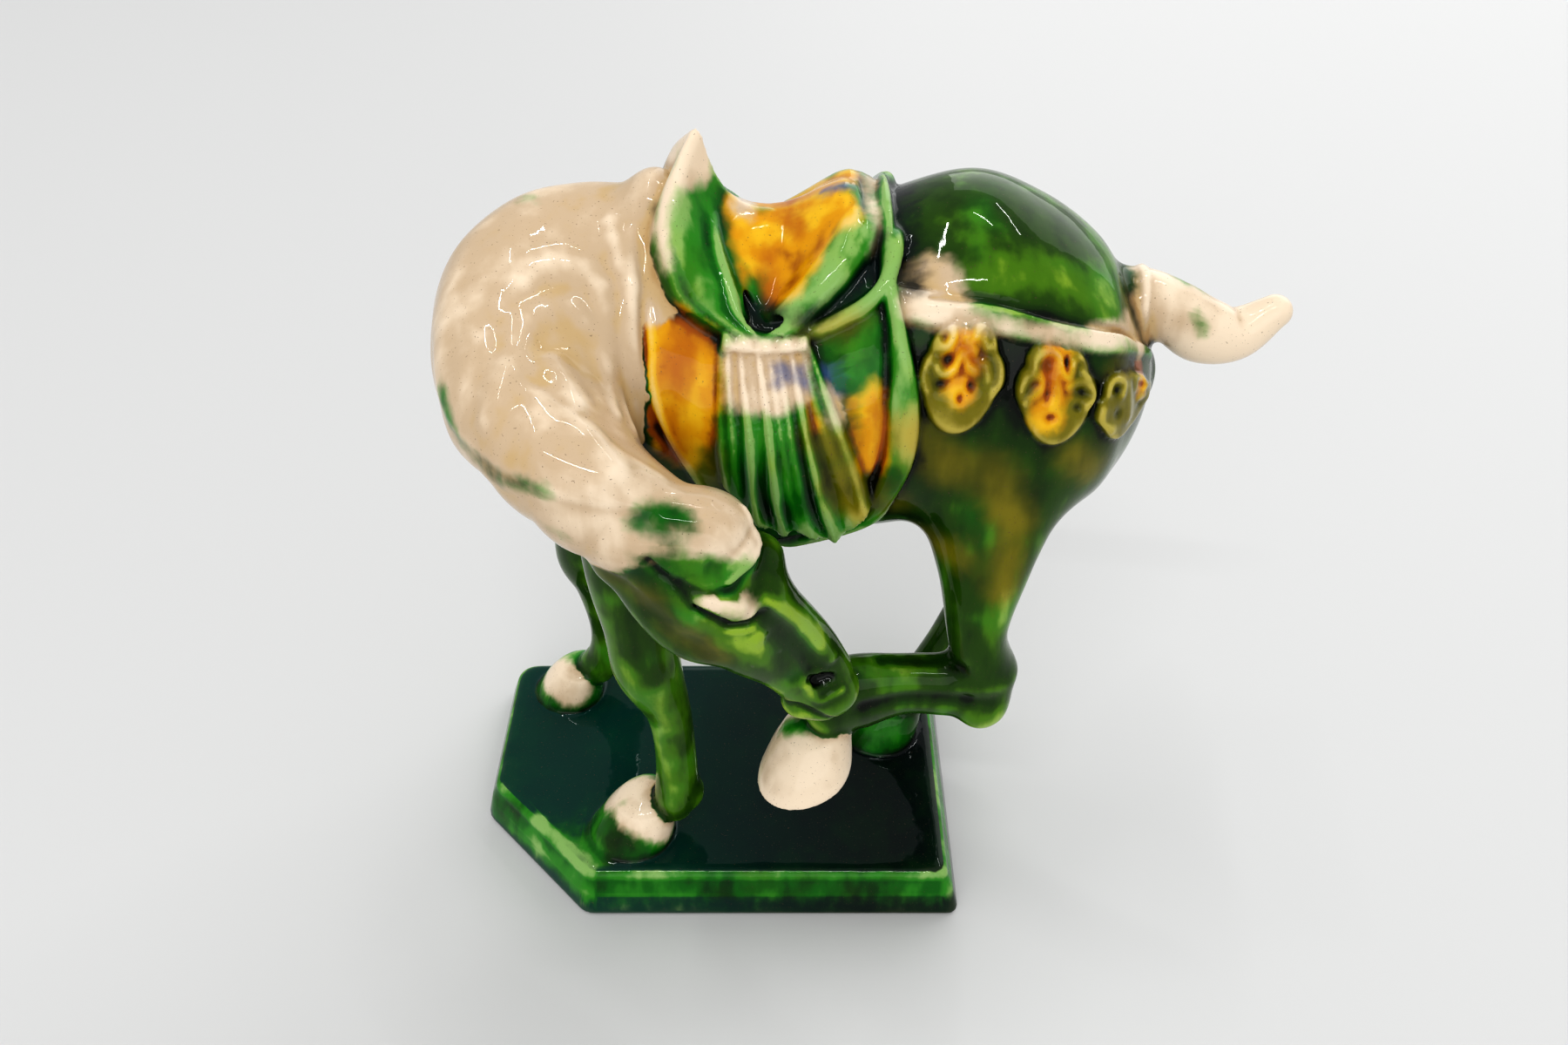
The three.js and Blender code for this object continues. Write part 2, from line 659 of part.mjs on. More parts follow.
function medallion(x, degrees, side) {
  const sectors = 12;
  const radii = [1, 0.78, 0.4];
  const outline = (angle) => {
    const point = Math.max(0, -Math.sin(angle)) ** 3;
    return 1 + 0.1 * point - 0.05 * Math.abs(Math.sin(3 * angle)) * (Math.sin(angle) > -0.2);
  };
  const spotAt = (r, angle, height) => {
    const across = (medallionWidth / 2) * r * outline(angle) * Math.cos(angle);
    const up = (medallionHeight / 2) * r * outline(angle) * Math.sin(angle);
    const turned = degrees + up / degreeLength;
    return onTrunk(x + across, mirroredTurn(turned, side), height);
  };
  const angles = Array.from({ length: sectors }, (_, k) => (2 * Math.PI * k) / sectors);
  const liftAt = (r, angle) => {
    const edge = r < 1 ? 1 : 0.6;
    return medallionLift * edge + reliefDepth * palmette(r * Math.cos(angle), r * Math.sin(angle));
  };
  const under = angles.map((angle) => spotAt(1, angle, -slabDepth));
  const rings = radii.map((r) => angles.map((angle) => spotAt(r, angle, liftAt(r, angle))));
  return skinOf([under, ...rings], spotAt(0, 0, -slabDepth), spotAt(0, 0, liftAt(0, 0)));
}

function harness() {
  const solids = [blanket(), saddle()];
  for (const side of [-1, 1]) {
    solids.push(skirt(side), padRim(side), gatherBand(side), strap(side));
    for (const [x, degrees] of medallionPlaces) solids.push(medallion(x, degrees, side));
  }
  return joined(solids);
}

function tailSolid() {
  const root = sectionAt(tail, tailRingPlace, trunkCrest);
  const ring = new THREE.TorusGeometry(root.halfSide - tailRingRadius / 3, tailRingRadius, 5, 10);
  const turn = new THREE.Quaternion().setFromUnitVectors(new THREE.Vector3(0, 0, 1), root.along);
  ring.applyQuaternion(turn).translate(root.at.x, root.at.y, root.at.z);
  return limb(tail, { rings: 10, sides: 10, domes: [0.8, 1] }).add(solidOf(ring));
}

function legs() {
  const leg = { crest: legCrest, rings: 13, sides: 10 };
  return joined([
    limb(chest, { ...leg, rings: 6, sides: 14 }),
    limb(nearFore, leg),
    limb(farFore, leg),
    limb(nearThigh, { ...leg, rings: 8 }),
    limb(nearCannon, { ...leg, crest: trunkCrest, rings: 8 }),
    limb(farHind, leg),
  ]);
}

// The faces of the outer skin alone: pockets sealed inside, where folds meet, are filled
function outerSkin({ vertProperties, triVerts }) {
  const parent = Array.from({ length: vertProperties.length / 3 }, (_, i) => i);
  const root = (i) => {
    while (parent[i] !== i) {
      parent[i] = parent[parent[i]];
      i = parent[i];
    }
    return i;
  };
  for (let i = 0; i < triVerts.length; i += 3) {
    parent[root(triVerts[i])] = root(triVerts[i + 1]);
    parent[root(triVerts[i + 1])] = root(triVerts[i + 2]);
  }
  const faces = new Map();
  for (let i = 0; i < triVerts.length; i += 3) {
    const shell = root(triVerts[i]);
    if (!faces.has(shell)) faces.set(shell, []);
    faces.get(shell).push(triVerts[i], triVerts[i + 1], triVerts[i + 2]);
  }
  const corner = (i) => new THREE.Vector3().fromArray(vertProperties, 3 * i);
  const volume = (shell) => {
    let sum = 0;
    for (let i = 0; i < shell.length; i += 3) {
      sum += corner(shell[i]).dot(corner(shell[i + 1]).cross(corner(shell[i + 2]))) / 6;
    }
    return sum;
  };
  return [...faces.values()].filter((shell) => volume(shell) > 0).flat();
}

function meshOf(solid, name, material) {
  const made = solid.getMesh();
  const geometry = new THREE.BufferGeometry();
  geometry.setAttribute("position", new THREE.BufferAttribute(made.vertProperties, 3));
  geometry.setIndex(outerSkin(made));
  geometry.computeVertexNormals();
  const mesh = new THREE.Mesh(geometry, material);
  mesh.name = name;
  return mesh;
}

const glaze = new THREE.MeshStandardMaterial({ color: 0x1f6b2a, roughness: 0.12, metalness: 0 });
const body = limb(trunk, { rings: 16, sides: 20, domes: [0.9, 0.3] });
const withers = ball([-5.5, 0, 168.5], [6.4, 7, 7.8]);
const figure = [body, withers, neckSolid(), headSolid(), legs(), hooves(), tailSolid()];
const horse = joined([plinth(), ...figure, harness()]);
const model = new THREE.Group();
model.add(meshOf(horse, "tomb_horse", glaze));

export default model;
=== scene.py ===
"""A three-colour glazed pottery horse: the fired form with its carving, and its running glazes."""
import math

import bpy
import numpy as np
import openvdb
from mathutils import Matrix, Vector


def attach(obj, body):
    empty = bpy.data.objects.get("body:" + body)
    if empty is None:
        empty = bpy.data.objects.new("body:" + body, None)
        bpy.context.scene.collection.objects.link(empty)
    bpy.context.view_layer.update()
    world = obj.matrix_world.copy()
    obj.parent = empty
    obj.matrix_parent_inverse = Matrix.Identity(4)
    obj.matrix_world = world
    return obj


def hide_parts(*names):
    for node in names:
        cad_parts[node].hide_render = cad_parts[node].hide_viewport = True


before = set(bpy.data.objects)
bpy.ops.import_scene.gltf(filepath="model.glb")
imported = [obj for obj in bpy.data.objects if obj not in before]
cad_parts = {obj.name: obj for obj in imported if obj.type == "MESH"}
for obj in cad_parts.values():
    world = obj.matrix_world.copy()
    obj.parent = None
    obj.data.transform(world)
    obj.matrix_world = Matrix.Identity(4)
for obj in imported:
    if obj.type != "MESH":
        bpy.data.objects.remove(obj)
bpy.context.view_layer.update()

# Shapes are worked out in millimetres, +Z up, head end towards -X, viewer's side towards -Y
MM = 0.001
VOXEL = 0.55
BAND = 7.0
DETAIL_BAND = 4.5
SPACE_LOW = (-72, -70, -5)
SPACE_HIGH = (130, 48, 205)
MOST_TRIANGLES = 196000

# Plinth
PLINTH_LENGTH = 123
PLINTH_WIDTH = 73.6
PLINTH_HEIGHT = 14
PLINTH_FLARE = 3.1
PLINTH_CORNER_CUT = 29
PLINTH_CORNER_ROUND = 6
PLINTH_NEAR_ROUND = 3
PLINTH_CUT_ROUND = 2.5
PLINTH_EDGE_ROUND = 3
PLINTH_FOOT = 0.7

# Harness
BLANKET_LIFT = 1.6
REAR_RIM_WIDTH = 6
FRONT_RIM_WIDTH = 2
RIM_LIFT = 1.7
PAD_RIM_RADIUS = 1.5
SKIRT_LIFT = 1.6
STRAP_WIDTH = 5
STRAP_LIFT = 1.1
MEDALLION_WIDTH = 15.6
MEDALLION_HEIGHT = 20
MEDALLION_LIFT = 1.7
MEDALLIONS = ((50.7, 25.3, -4), (68.6, 22.3, 3), (84.6, 17, 8))

# Hooves
HOOF_TOP = 7.2
HOOF_HEIGHT = 11.5
HOOF_SLANT = 4.5

BODY, NECK, HEAD, FORELOCK, LEG, HOOF, TAIL, PLINTH = range(1, 9)
BLANKET, SKIRT, SADDLE, RIM, STRAP, MEDALLION = range(9, 15)

UP = (0, 0, 1)
FORWARD = (-1, 0, 0)

# Stations of each limb: middle x, y, height above the plinth's top, half width, half depth
# towards the crest and away from it, and the crest's direction where it turns along the limb
TRUNK = [
    (-34, 0, 132, 12, 13, 18), (-22, 0, 132, 23, 30, 30), (-4, 0, 132, 27.5, 31, 36),
    (17, 0, 132, 30, 28, 37.5), (38, 0, 132, 31, 37, 33.5), (55, 0, 132, 31.5, 42, 29),
    (69, 0, 132, 31, 37.1, 30), (80.5, 0, 132, 26.8, 28.8, 28), (86.5, 0, 132, 19.5, 20, 24),
    (91.3, 0, 132, 12, 12, 17), (94.2, 0, 132, 5, 4.5, 8),
]
NECK_PATH = [
    (6, 0, 138, 22, 27, 34, 0, 0, 1), (-12, -2, 143, 21.5, 28.4, 36, -0.25, 0, 1),
    (-23, -11, 145, 19, 27.1, 27, -0.7, -0.1, 0.7), (-25, -28, 142, 14.6, 19.4, 20, -0.75, -0.4, 0.55),
    (-16.6, -41.8, 136.3, 11.8, 16, 14, -0.3, -0.5, 0.8), (-4.5, -48, 128.1, 10, 12.5, 10, 0.2, -0.3, 0.9),
    (4, -50, 120, 10, 11.5, 11, 0.6, -0.2, 0.7),
]
HEAD_PATH = [
    (-1, -50, 124, 9, 11, 9), (6, -50, 114, 9.5, 12.5, 10.5), (11, -49, 105, 9, 11, 8),
    (17, -47.5, 96, 7, 8.3, 5), (22, -46, 88, 6.2, 7, 5.4), (26, -45, 82, 6.3, 6.5, 6),
]
CHEST = [
    (-16, 0, 150, 17, 14, 20), (-21, 0, 131, 23, 17, 24), (-25, 2, 112, 22, 15, 24), (-25, 3, 98, 13, 9, 18),
]
NEAR_FORE = [
    (-6, -11, 130, 14, 18, 18), (-12, -16, 110, 12, 14, 15), (-14.8, -20, 94, 9.2, 10, 10.5),
    (-14.2, -22, 78, 7.5, 7.8, 8.2), (-13, -22, 64, 8, 7.9, 7.9), (-9.3, -22, 48, 5.3, 5.4, 5.6),
    (-8.5, -22, 32, 4.9, 5, 5.2), (-9, -22, 17, 6, 5.6, 5.8), (-10.5, -22, 10.5, 5.2, 5.4, 5.4),
]
FAR_FORE = [
    (-14, 9, 130, 15, 19, 18), (-22, 13, 110, 13, 14.5, 15), (-27.6, 18, 92, 9.5, 10, 11),
    (-31.4, 22, 74, 7.5, 8, 8), (-33.3, 24, 57, 7.4, 8, 7.2), (-32.2, 25, 44, 5, 5.5, 5.5),
    (-31, 26, 28, 4.5, 4.8, 4.8), (-31.6, 26, 17, 5.6, 5.6, 5.8), (-35.8, 26, 10, 5.4, 5.4, 5.4),
]
NEAR_THIGH = [
    (60, -12, 136, 16, 20, 22), (61, -19, 121, 13, 18, 17.8), (61, -28, 103, 10, 11, 9.2),
    (61, -32, 88, 8, 7.8, 5.2), (63, -34, 77, 7, 7.5, 6),
]
NEAR_CANNON = [
    (65, -34, 71, 6.5, 8.2, 7.8), (56, -34, 71.5, 6, 8, 8.2), (45, -34, 72, 5.5, 7.6, 8.6),
    (34, -35, 70, 6.5, 10.2, 10.6), (27, -37, 66, 6.3, 8, 8.5),
]
FAR_HIND = [
    (60, 10, 136, 15, 22, 24), (64, 14, 114, 12, 17, 18), (67, 14, 91, 9, 10.5, 12),
    (70, 13, 70, 7, 8, 8), (70.5, 13, 56, 6.5, 7.5, 8), (64, 12, 40, 5, 5.8, 6),
    (58, 12, 26, 4.8, 5.2, 5.2), (54.5, 12, 16, 6, 6, 6.2), (50.5, 12, 10, 5.5, 5.5, 5.5),
]
TAIL_PATH = [
    (77, 0, 143, 10, 10, 9.5), (88, -0.5, 148, 7.2, 7.4, 6.6), (96, -1.5, 146.5, 6.2, 6.6, 6),
    (103, -2, 142.6, 6.3, 6.8, 6.6), (110, -2, 142, 5.4, 5.6, 5.4), (116.5, -2, 147, 3.4, 3.6, 3.4),
]


# Arrays of vectors

def unit(vectors):
    return vectors / np.linalg.norm(vectors, axis=-1, keepdims=True)


def dot(a, b):
    return (a * b).sum(-1, keepdims=True)


def through(values, t):
    """A smooth curve through equally spaced rows of values, for t from 0 to 1."""
    values = np.asarray(values, float)
    last = len(values) - 1
    s = np.clip(t, 0, 1) * last
    i = np.minimum(s.astype(int), last - 1)
    f = s - i
    if values.ndim > 1:
        f = f[:, None]
    ends = [2 * values[:1] - values[1:2], values, 2 * values[-1:] - values[-2:-1]]
    spread = np.concatenate(ends)
    p0, p1, p2, p3 = (spread[i + k] for k in range(4))
    linear = (p2 - p0) * f
    square = (2 * p0 - 5 * p1 + 4 * p2 - p3) * f ** 2
    cube = (3 * p1 - p0 - 3 * p2 + p3) * f ** 3
    return 0.5 * (2 * p1 + linear + square + cube)


def smoothstep(value, low, high):
    s = np.clip((value - low) / (high - low), 0, 1)
    return s * s * (3 - 2 * s)


def bump(value, low, high):
    inside = np.clip((value - low) / (high - low), 0, 1)
    return np.sin(np.pi * inside)


def bell(value, middle, width):
    return np.exp(-((value - middle) / width) ** 2)


def rounded(u, steepness):
    """0 at both edges of a strip where u is 0 and 1, rising steeply to 1 between them."""
    return np.minimum(1, np.minimum(u, 1 - u) * steepness) ** 0.5


# Closed skins, each a tuple of points, triangles and quads

def with_crest(stations, crest):
    return np.array([tuple(one[:6]) + (tuple(one[6:]) or tuple(crest)) for one in stations], float)


def sections(rows, t):
    values = through(rows, t)
    step = 1e-3
    ahead = through(rows[:, :3], np.minimum(t + step, 1))
    behind = through(rows[:, :3], np.maximum(t - step, 0))
    along = unit(ahead - behind)
    lean = values[:, 6:9]
    up = unit(lean - along * dot(lean, along))
    side = np.cross(along, up)
    at = values[:, :3] + (0, 0, PLINTH_HEIGHT)
    return at, along, up, side, values[:, 3], values[:, 4], values[:, 5]


def closed_rings(points):
    """Skin of rings (rows, sides, 3), closed on the middle of its first and last ring."""
    rows, sides = points.shape[:2]
    number = np.arange(rows * sides).reshape(rows, sides)
    right = np.roll(number, -1, 1)
    quads = np.stack([number[:-1], right[:-1], right[1:], number[1:]], -1).reshape(-1, 4)
    tips = np.array([points[0].mean(0), points[-1].mean(0)])
    first = np.full(sides, rows * sides)
    caps = [np.stack([first, right[0], number[0]], -1), np.stack([first + 1, number[-1], right[-1]], -1)]
    return np.vstack([points.reshape(-1, 3), tips]), np.vstack(caps), quads


def limb(stations, crest=UP, rings=90, sides=72, domes=(0.6, 0.6), lift=None):
    """A closed skin through stations, with domed ends. lift(t, degrees) raises it."""
    rows = with_crest(stations, crest)
    dome_steps = 8
    turn = np.linspace(0.05, 0.5 * math.pi, dome_steps, endpoint=False)
    t = np.concatenate([np.zeros(dome_steps), np.linspace(0, 1, rings), np.ones(dome_steps)])
    shrink = np.concatenate([np.sin(turn), np.ones(rings), np.sin(turn[::-1])])
    at, along, up, side, half, top, bottom = sections(rows, t)
    reach = np.minimum(half, np.minimum(top, bottom))
    ends = [-domes[0] * np.cos(turn), np.zeros(rings), domes[1] * np.cos(turn[::-1])]
    push = np.concatenate(ends) * reach
    angle = np.linspace(0, 2 * math.pi, sides, endpoint=False)
    rise, across = np.sin(angle), np.cos(angle)
    raised = 0 if lift is None else lift(t[:, None], np.degrees(angle)[None, :]) * shrink[:, None]
    depth = np.where(rise > 0, top[:, None], bottom[:, None]) * shrink[:, None] + raised
    width = half[:, None] * shrink[:, None] + raised
    points = (
        (at + along * push[:, None])[:, None, :]
        + side[:, None, :] * (across * width)[..., None]
        + up[:, None, :] * (rise * depth)[..., None]
    )
    return closed_rings(points)


def tube(points, radii, rings=60, sides=20, crest=UP):
    """A round bar along points. Heights here are above the plinth's underside."""
    radii = np.broadcast_to(radii, len(points))
    stations = [(x, y, z - PLINTH_HEIGHT, r, r, r) for (x, y, z), r in zip(points, radii)]
    return limb(stations, crest=crest, rings=rings, sides=sides, domes=(1, 1))


def ball(at, size, turn=(0, 0, 0)):
    """An egg of half sizes size, turned by three angles in degrees."""
    rows, sides = 24, 36
    tilt = np.linspace(0.03, math.pi - 0.03, rows)[:, None]
    angle = np.linspace(0, 2 * math.pi, sides, endpoint=False)[None, :]
    ring = np.stack(np.broadcast_arrays(
        np.sin(tilt) * np.cos(angle), np.sin(tilt) * np.sin(angle), np.cos(tilt)), -1)
    points = ring * size
    for axis, degrees in enumerate(turn):
        c, s = math.cos(math.radians(degrees)), math.sin(math.radians(degrees))
        a, b = (axis + 1) % 3, (axis + 2) % 3
        turned = points.copy()
        turned[..., a] = c * points[..., a] - s * points[..., b]
        turned[..., b] = s * points[..., a] + c * points[..., b]
        points = turned
    return closed_rings(points + np.array(at))


def slab(where, lift, wide, long, depth=2.5):
    """A slab lying on the trunk: where(u, v) gives x and degrees, lift(u, v) its height."""
    v, u = np.meshgrid(np.linspace(0, 1, long), np.linspace(0, 1, wide), indexing="ij")
    x, degrees = where(u, v)
    top = on_trunk(x, degrees, lift(u, v))
    bottom = on_trunk(x, degrees, np.full(u.shape, -depth))
    return closed_slab(top, bottom)


def closed_slab(top, bottom):
    long, wide = top.shape[:2]
    number = np.arange(long * wide).reshape(long, wide)
    face = np.stack([number[:-1, :-1], number[:-1, 1:], number[1:, 1:], number[1:, :-1]], -1)
    quads = [face.reshape(-1, 4), (face + long * wide)[..., ::-1].reshape(-1, 4)]
    edge = np.concatenate([number[0, :-1], number[:-1, -1], number[-1, :0:-1], number[:0:-1, 0]])
    after = np.roll(edge, -1)
    quads.append(np.stack([after, edge, edge + long * wide, after + long * wide], -1))
    points = np.concatenate([top.reshape(-1, 3), bottom.reshape(-1, 3)])
    return points, np.zeros((0, 3), int), np.vstack(quads)


# Places on the trunk: degrees go from 0 on the viewer's side over 90 on the back to 180

TRUNK_ROWS = with_crest(TRUNK, UP)
TRUNK_SHARES = np.linspace(0, 1, 800)
TRUNK_PLACES = through(TRUNK_ROWS[:, 0], TRUNK_SHARES)


def on_trunk(x, degrees, lift):
    x, degrees, lift = np.broadcast_arrays(np.asarray(x, float), degrees, lift)
    t = np.interp(x.ravel(), TRUNK_PLACES, TRUNK_SHARES)
    at, _, up, side, half, top, bottom = sections(TRUNK_ROWS, t)
    angle = np.radians(degrees.ravel())
    rise, across = np.sin(angle), np.cos(angle)
    depth = np.where(rise > 0, top, bottom) + lift.ravel()
    points = at + side * (across * (half + lift.ravel()))[:, None] + up * (rise * depth)[:, None]
    return points.reshape(x.shape + (3,))


def mirror_degrees(degrees, side):
    return degrees if side < 0 else 180 - degrees


# The form, held as the distance to its surface on a grid of voxels

def smooth_least(a, b, blend, band):
    near = np.clip((band - np.maximum(a, b)) / (band - blend), 0, 1)
    gap = np.maximum(blend - np.abs(a - b), 0) * near
    return np.minimum(a, b) - gap * gap / (4 * blend)


class Clay:
    def __init__(self):
        self.low = np.floor(np.array(SPACE_LOW) / VOXEL).astype(int)
        high = np.ceil(np.array(SPACE_HIGH) / VOXEL).astype(int)
        self.value = np.full(tuple(high - self.low), BAND, np.float32)
        self.label = np.zeros(self.value.shape, np.int8)

    def distance(self, skin, band):
        points, triangles, quads = skin
        width = int(math.ceil(band / VOXEL))
        grid = openvdb.FloatGrid.createLevelSetFromPolygons(
            points.astype(np.float32),
            triangles=triangles.astype(np.uint32),
            quads=quads.astype(np.uint32),
            transform=openvdb.createLinearTransform(voxelSize=VOXEL),
            halfWidth=width,
        )
        low = np.maximum(np.floor(points.min(0) / VOXEL).astype(int) - width, self.low)
        high = np.ceil(points.max(0) / VOXEL).astype(int) + width
        high = np.minimum(high, self.low + self.value.shape)
        part = np.empty(tuple(high - low), np.float32)
        grid.copyToArray(part, ijk=tuple(int(k) for k in low))
        here = tuple(slice(a, b) for a, b in zip(low - self.low, high - self.low))
        part[part >= band - 0.01] = BAND
        return here, np.maximum(part, -BAND)

    def add(self, skin, blend, label, band=BAND):
        here, part = self.distance(skin, band)
        old = self.value[here]
        self.label[here][part < old] = label
        self.value[here] = smooth_least(old, part, blend, band)

    def cut(self, skin, blend, band=DETAIL_BAND):
        here, part = self.distance(skin, band)
        self.value[here] = -smooth_least(-self.value[here], part, blend, band)

    def detail(self, skin, blend, label):
        self.add(skin, blend, label, DETAIL_BAND)

    def sample(self, field, points):
        place = points / VOXEL - self.low
        base = np.clip(np.floor(place).astype(int), 0, np.array(field.shape) - 2)
        f = place - base
        total = np.zeros(len(points))
        for corner in np.ndindex(2, 2, 2):
            weight = np.prod(np.where(corner, f, 1 - f), axis=1)
            i, j, k = (base + corner).T
            total += weight * field[i, j, k]
        return total

    def labels_at(self, points):
        i, j, k = np.round(points / VOXEL - self.low).astype(int).T
        return self.label[i, j, k]

    def surface(self):
        grid = openvdb.FloatGrid(BAND)
        grid.copyFromArray(self.value, ijk=tuple(int(k) for k in self.low))
        grid.transform = openvdb.createLinearTransform(voxelSize=VOXEL)
        points, quads = grid.convertToQuads(0.0)
        return points.astype(float), quads.astype(int)


PATH_STEPS = np.linspace(0, 1, 30)


def on_skin(clay, path, lift):
    """The drawn path moved on to the clay's surface, or lift millimetres above it."""
    points = through(path, PATH_STEPS)
    heights = through(np.broadcast_to(lift, len(path)), PATH_STEPS)
    reach = 0.5
    for _ in range(4):
        slope = np.column_stack([
            clay.sample(clay.value, points + reach * axis) - clay.sample(clay.value, points - reach * axis)
            for axis in np.eye(3)
        ]) / (2 * reach)
        steepness = np.maximum((slope ** 2).sum(1, keepdims=True), 0.2)
        points = points - (clay.sample(clay.value, points) - heights)[:, None] * slope / steepness
    return points


def groove(clay, path, radii, depth, blend=0.8):
    """A rounded groove of this depth in the surface, drawn along a path near it."""
    radii = np.broadcast_to(radii, len(path))
    clay.cut(tube(on_skin(clay, path, radii - depth), through(radii, PATH_STEPS), rings=90), blend)


def welt(clay, path, radii, rise, label, blend=1):
    """A rounded fold that stands this high over the surface, drawn along a path near it."""
    radii = np.broadcast_to(radii, len(path))
    skin = tube(on_skin(clay, path, rise - radii), through(radii, PATH_STEPS), rings=90)
    clay.detail(skin, blend, label)


def blurred(field, radius):
    """Box blur over about radius millimetres, along each axis in turn."""
    reach = max(1, int(round(radius / VOXEL)))
    width = 2 * reach + 1
    for axis in range(3):
        pad = [(reach + 1, reach) if k == axis else (0, 0) for k in range(3)]
        total = np.cumsum(np.pad(field, pad, mode="edge"), axis=axis, dtype=np.float32)
        ahead = [slice(width, None) if k == axis else slice(None) for k in range(3)]
        behind = [slice(None, -width) if k == axis else slice(None) for k in range(3)]
        field = (total[tuple(ahead)] - total[tuple(behind)]) / width
    return field


# Horse

NECK_LOCKS = 12
NECK_HAIRS = 17
# Soft swellings of the neck: height, place along it with its degrees, and reach each way
NECK_LOBES = ((0.6, (0.5, 92), (0.25, 58)), (0.5, (0.62, 100), (0.22, 38)), (0.4, (0.36, 60), (0.2, 50)))


def soft_spot(t, degrees, middle, reach):
    """1 inside an egg-shaped spot of the neck, falling to 0 over its edge."""
    away = np.hypot((t - middle[0]) / reach[0], (degrees - middle[1]) / reach[1])
    return 1 - smoothstep(away, 0.82, 1.05)


def neck_lift(t, degrees):
    scallop = np.abs(np.sin(np.pi * NECK_LOCKS * t)) ** 0.8
    locks = (0.3 + 0.75 * scallop) * bump(degrees, -45, 75) * bump(t, 0.05, 0.9) ** 0.6
    lobes = sum(height * soft_spot(t, degrees, middle, reach) for height, middle, reach in NECK_LOBES)
    hair = 0.08 * np.sin(2 * np.pi * NECK_HAIRS * t + 0.16 * degrees) * bump(degrees, 0, 150)
    return locks + lobes + hair * bump(t, 0.1, 1.0)


def add_body(clay):
    clay.add(limb(TRUNK, rings=160, sides=160, domes=(0.9, 0.3)), 1, BODY)
    # Withers in front of the saddle
    clay.add(ball((-5.5, 0, 182.5), (6, 7, 7.6)), 2, BODY)
    clay.add(limb(CHEST, crest=FORWARD), 6, BODY)
    clay.add(limb(NECK_PATH, rings=300, sides=220, lift=neck_lift), 5, NECK)
    for stations in (NEAR_FORE, FAR_FORE, FAR_HIND, NEAR_THIGH):
        clay.add(limb(stations, crest=FORWARD), 6, LEG)
    clay.add(limb(NEAR_CANNON), 4, LEG)
    clay.add(limb(TAIL_PATH, domes=(0.8, 1)), 3, TAIL)


def add_leg_details(clay):
    # Point of the hock under the raised leg, and the same point on the standing one
    clay.detail(ball((62, -37, 81.4), (5, 4.5, 5.3)), 2.5, LEG)
    clay.detail(ball((77, 13, 82), (4, 4.5, 6)), 2.5, LEG)
    # Fetlock tufts
    for x, y, z in ((-5, -22, 30), (-26.5, 26, 29), (59.5, 12, 30)):
        clay.detail(ball((x, y, z), (3, 3.5, 4.5)), 2, LEG)
    # Hollows beside the tendons of the raised cannon
    groove(clay, [(58, -40.5, 87), (46, -40.2, 87), (36, -41.5, 86)], 1.6, 0.7, 2)
    groove(clay, [(60, -35, 95.5), (48, -34, 94.6), (40, -34, 94)], 1.4, 0.5, 2)


def add_head(clay):
    clay.add(limb(HEAD_PATH, crest=(0.87, -0.18, 0.46), domes=(0.8, 0.9)), 4, HEAD)
    # Forehead and the far eye's brow
    clay.add(ball((12.5, -46.5, 133), (6, 5.5, 8), (0, 25, 0)), 4, HEAD)
    # Jaw: a thick muscle from the throat to the middle of the jaw
    jaw = [
        (-12.2, -50, 137.8), (-8.7, -51.5, 135.5), (-5.1, -53, 130.7), (-1.3, -53.5, 124.8),
        (3.1, -53.5, 120.7), (8.7, -53, 119.9), (13.3, -52, 117.9),
    ]
    clay.add(tube(jaw, (4, 4.5, 5, 5, 4.5, 3.5, 3)), 2.4, HEAD)
    # Bridge of the nose, and the bone that runs under the eye
    ridge = [(15, -51.5, 132), (20, -48.5, 123), (25, -46, 113), (28.5, -45, 104)]
    clay.add(tube(ridge, (4.4, 4, 3.8, 4)), 3, HEAD)
    bone = [(13.5, -56.8, 126), (17.3, -54.6, 120), (20, -53, 114), (22.5, -51.6, 108)]
    clay.detail(tube(bone, (1.8, 1.5, 1.4, 1.1)), 1.8, HEAD)
    # Forelock: a smooth pad over the brow
    pad = [(-9, -50, 147), (0, -51, 147), (5.5, -51, 146), (8.2, -51.6, 143.4)]
    clay.add(tube(pad, (8, 8, 7.8, 6.4)), 1.6, FORELOCK)
    # Lid of the eye, muzzle and chin
    clay.detail(ball((8.6, -57.3, 134.6), (5.8, 3, 3), (0, 32, 0)), 1.6, HEAD)
    clay.detail(ball((29, -45.4, 98), (5.2, 5.4, 5.2)), 3, HEAD)
    clay.detail(ball((22, -47, 96), (4, 4.4, 3.2)), 2, HEAD)
    add_eye_and_forelock_folds(clay)
    add_nose_and_mouth(clay)


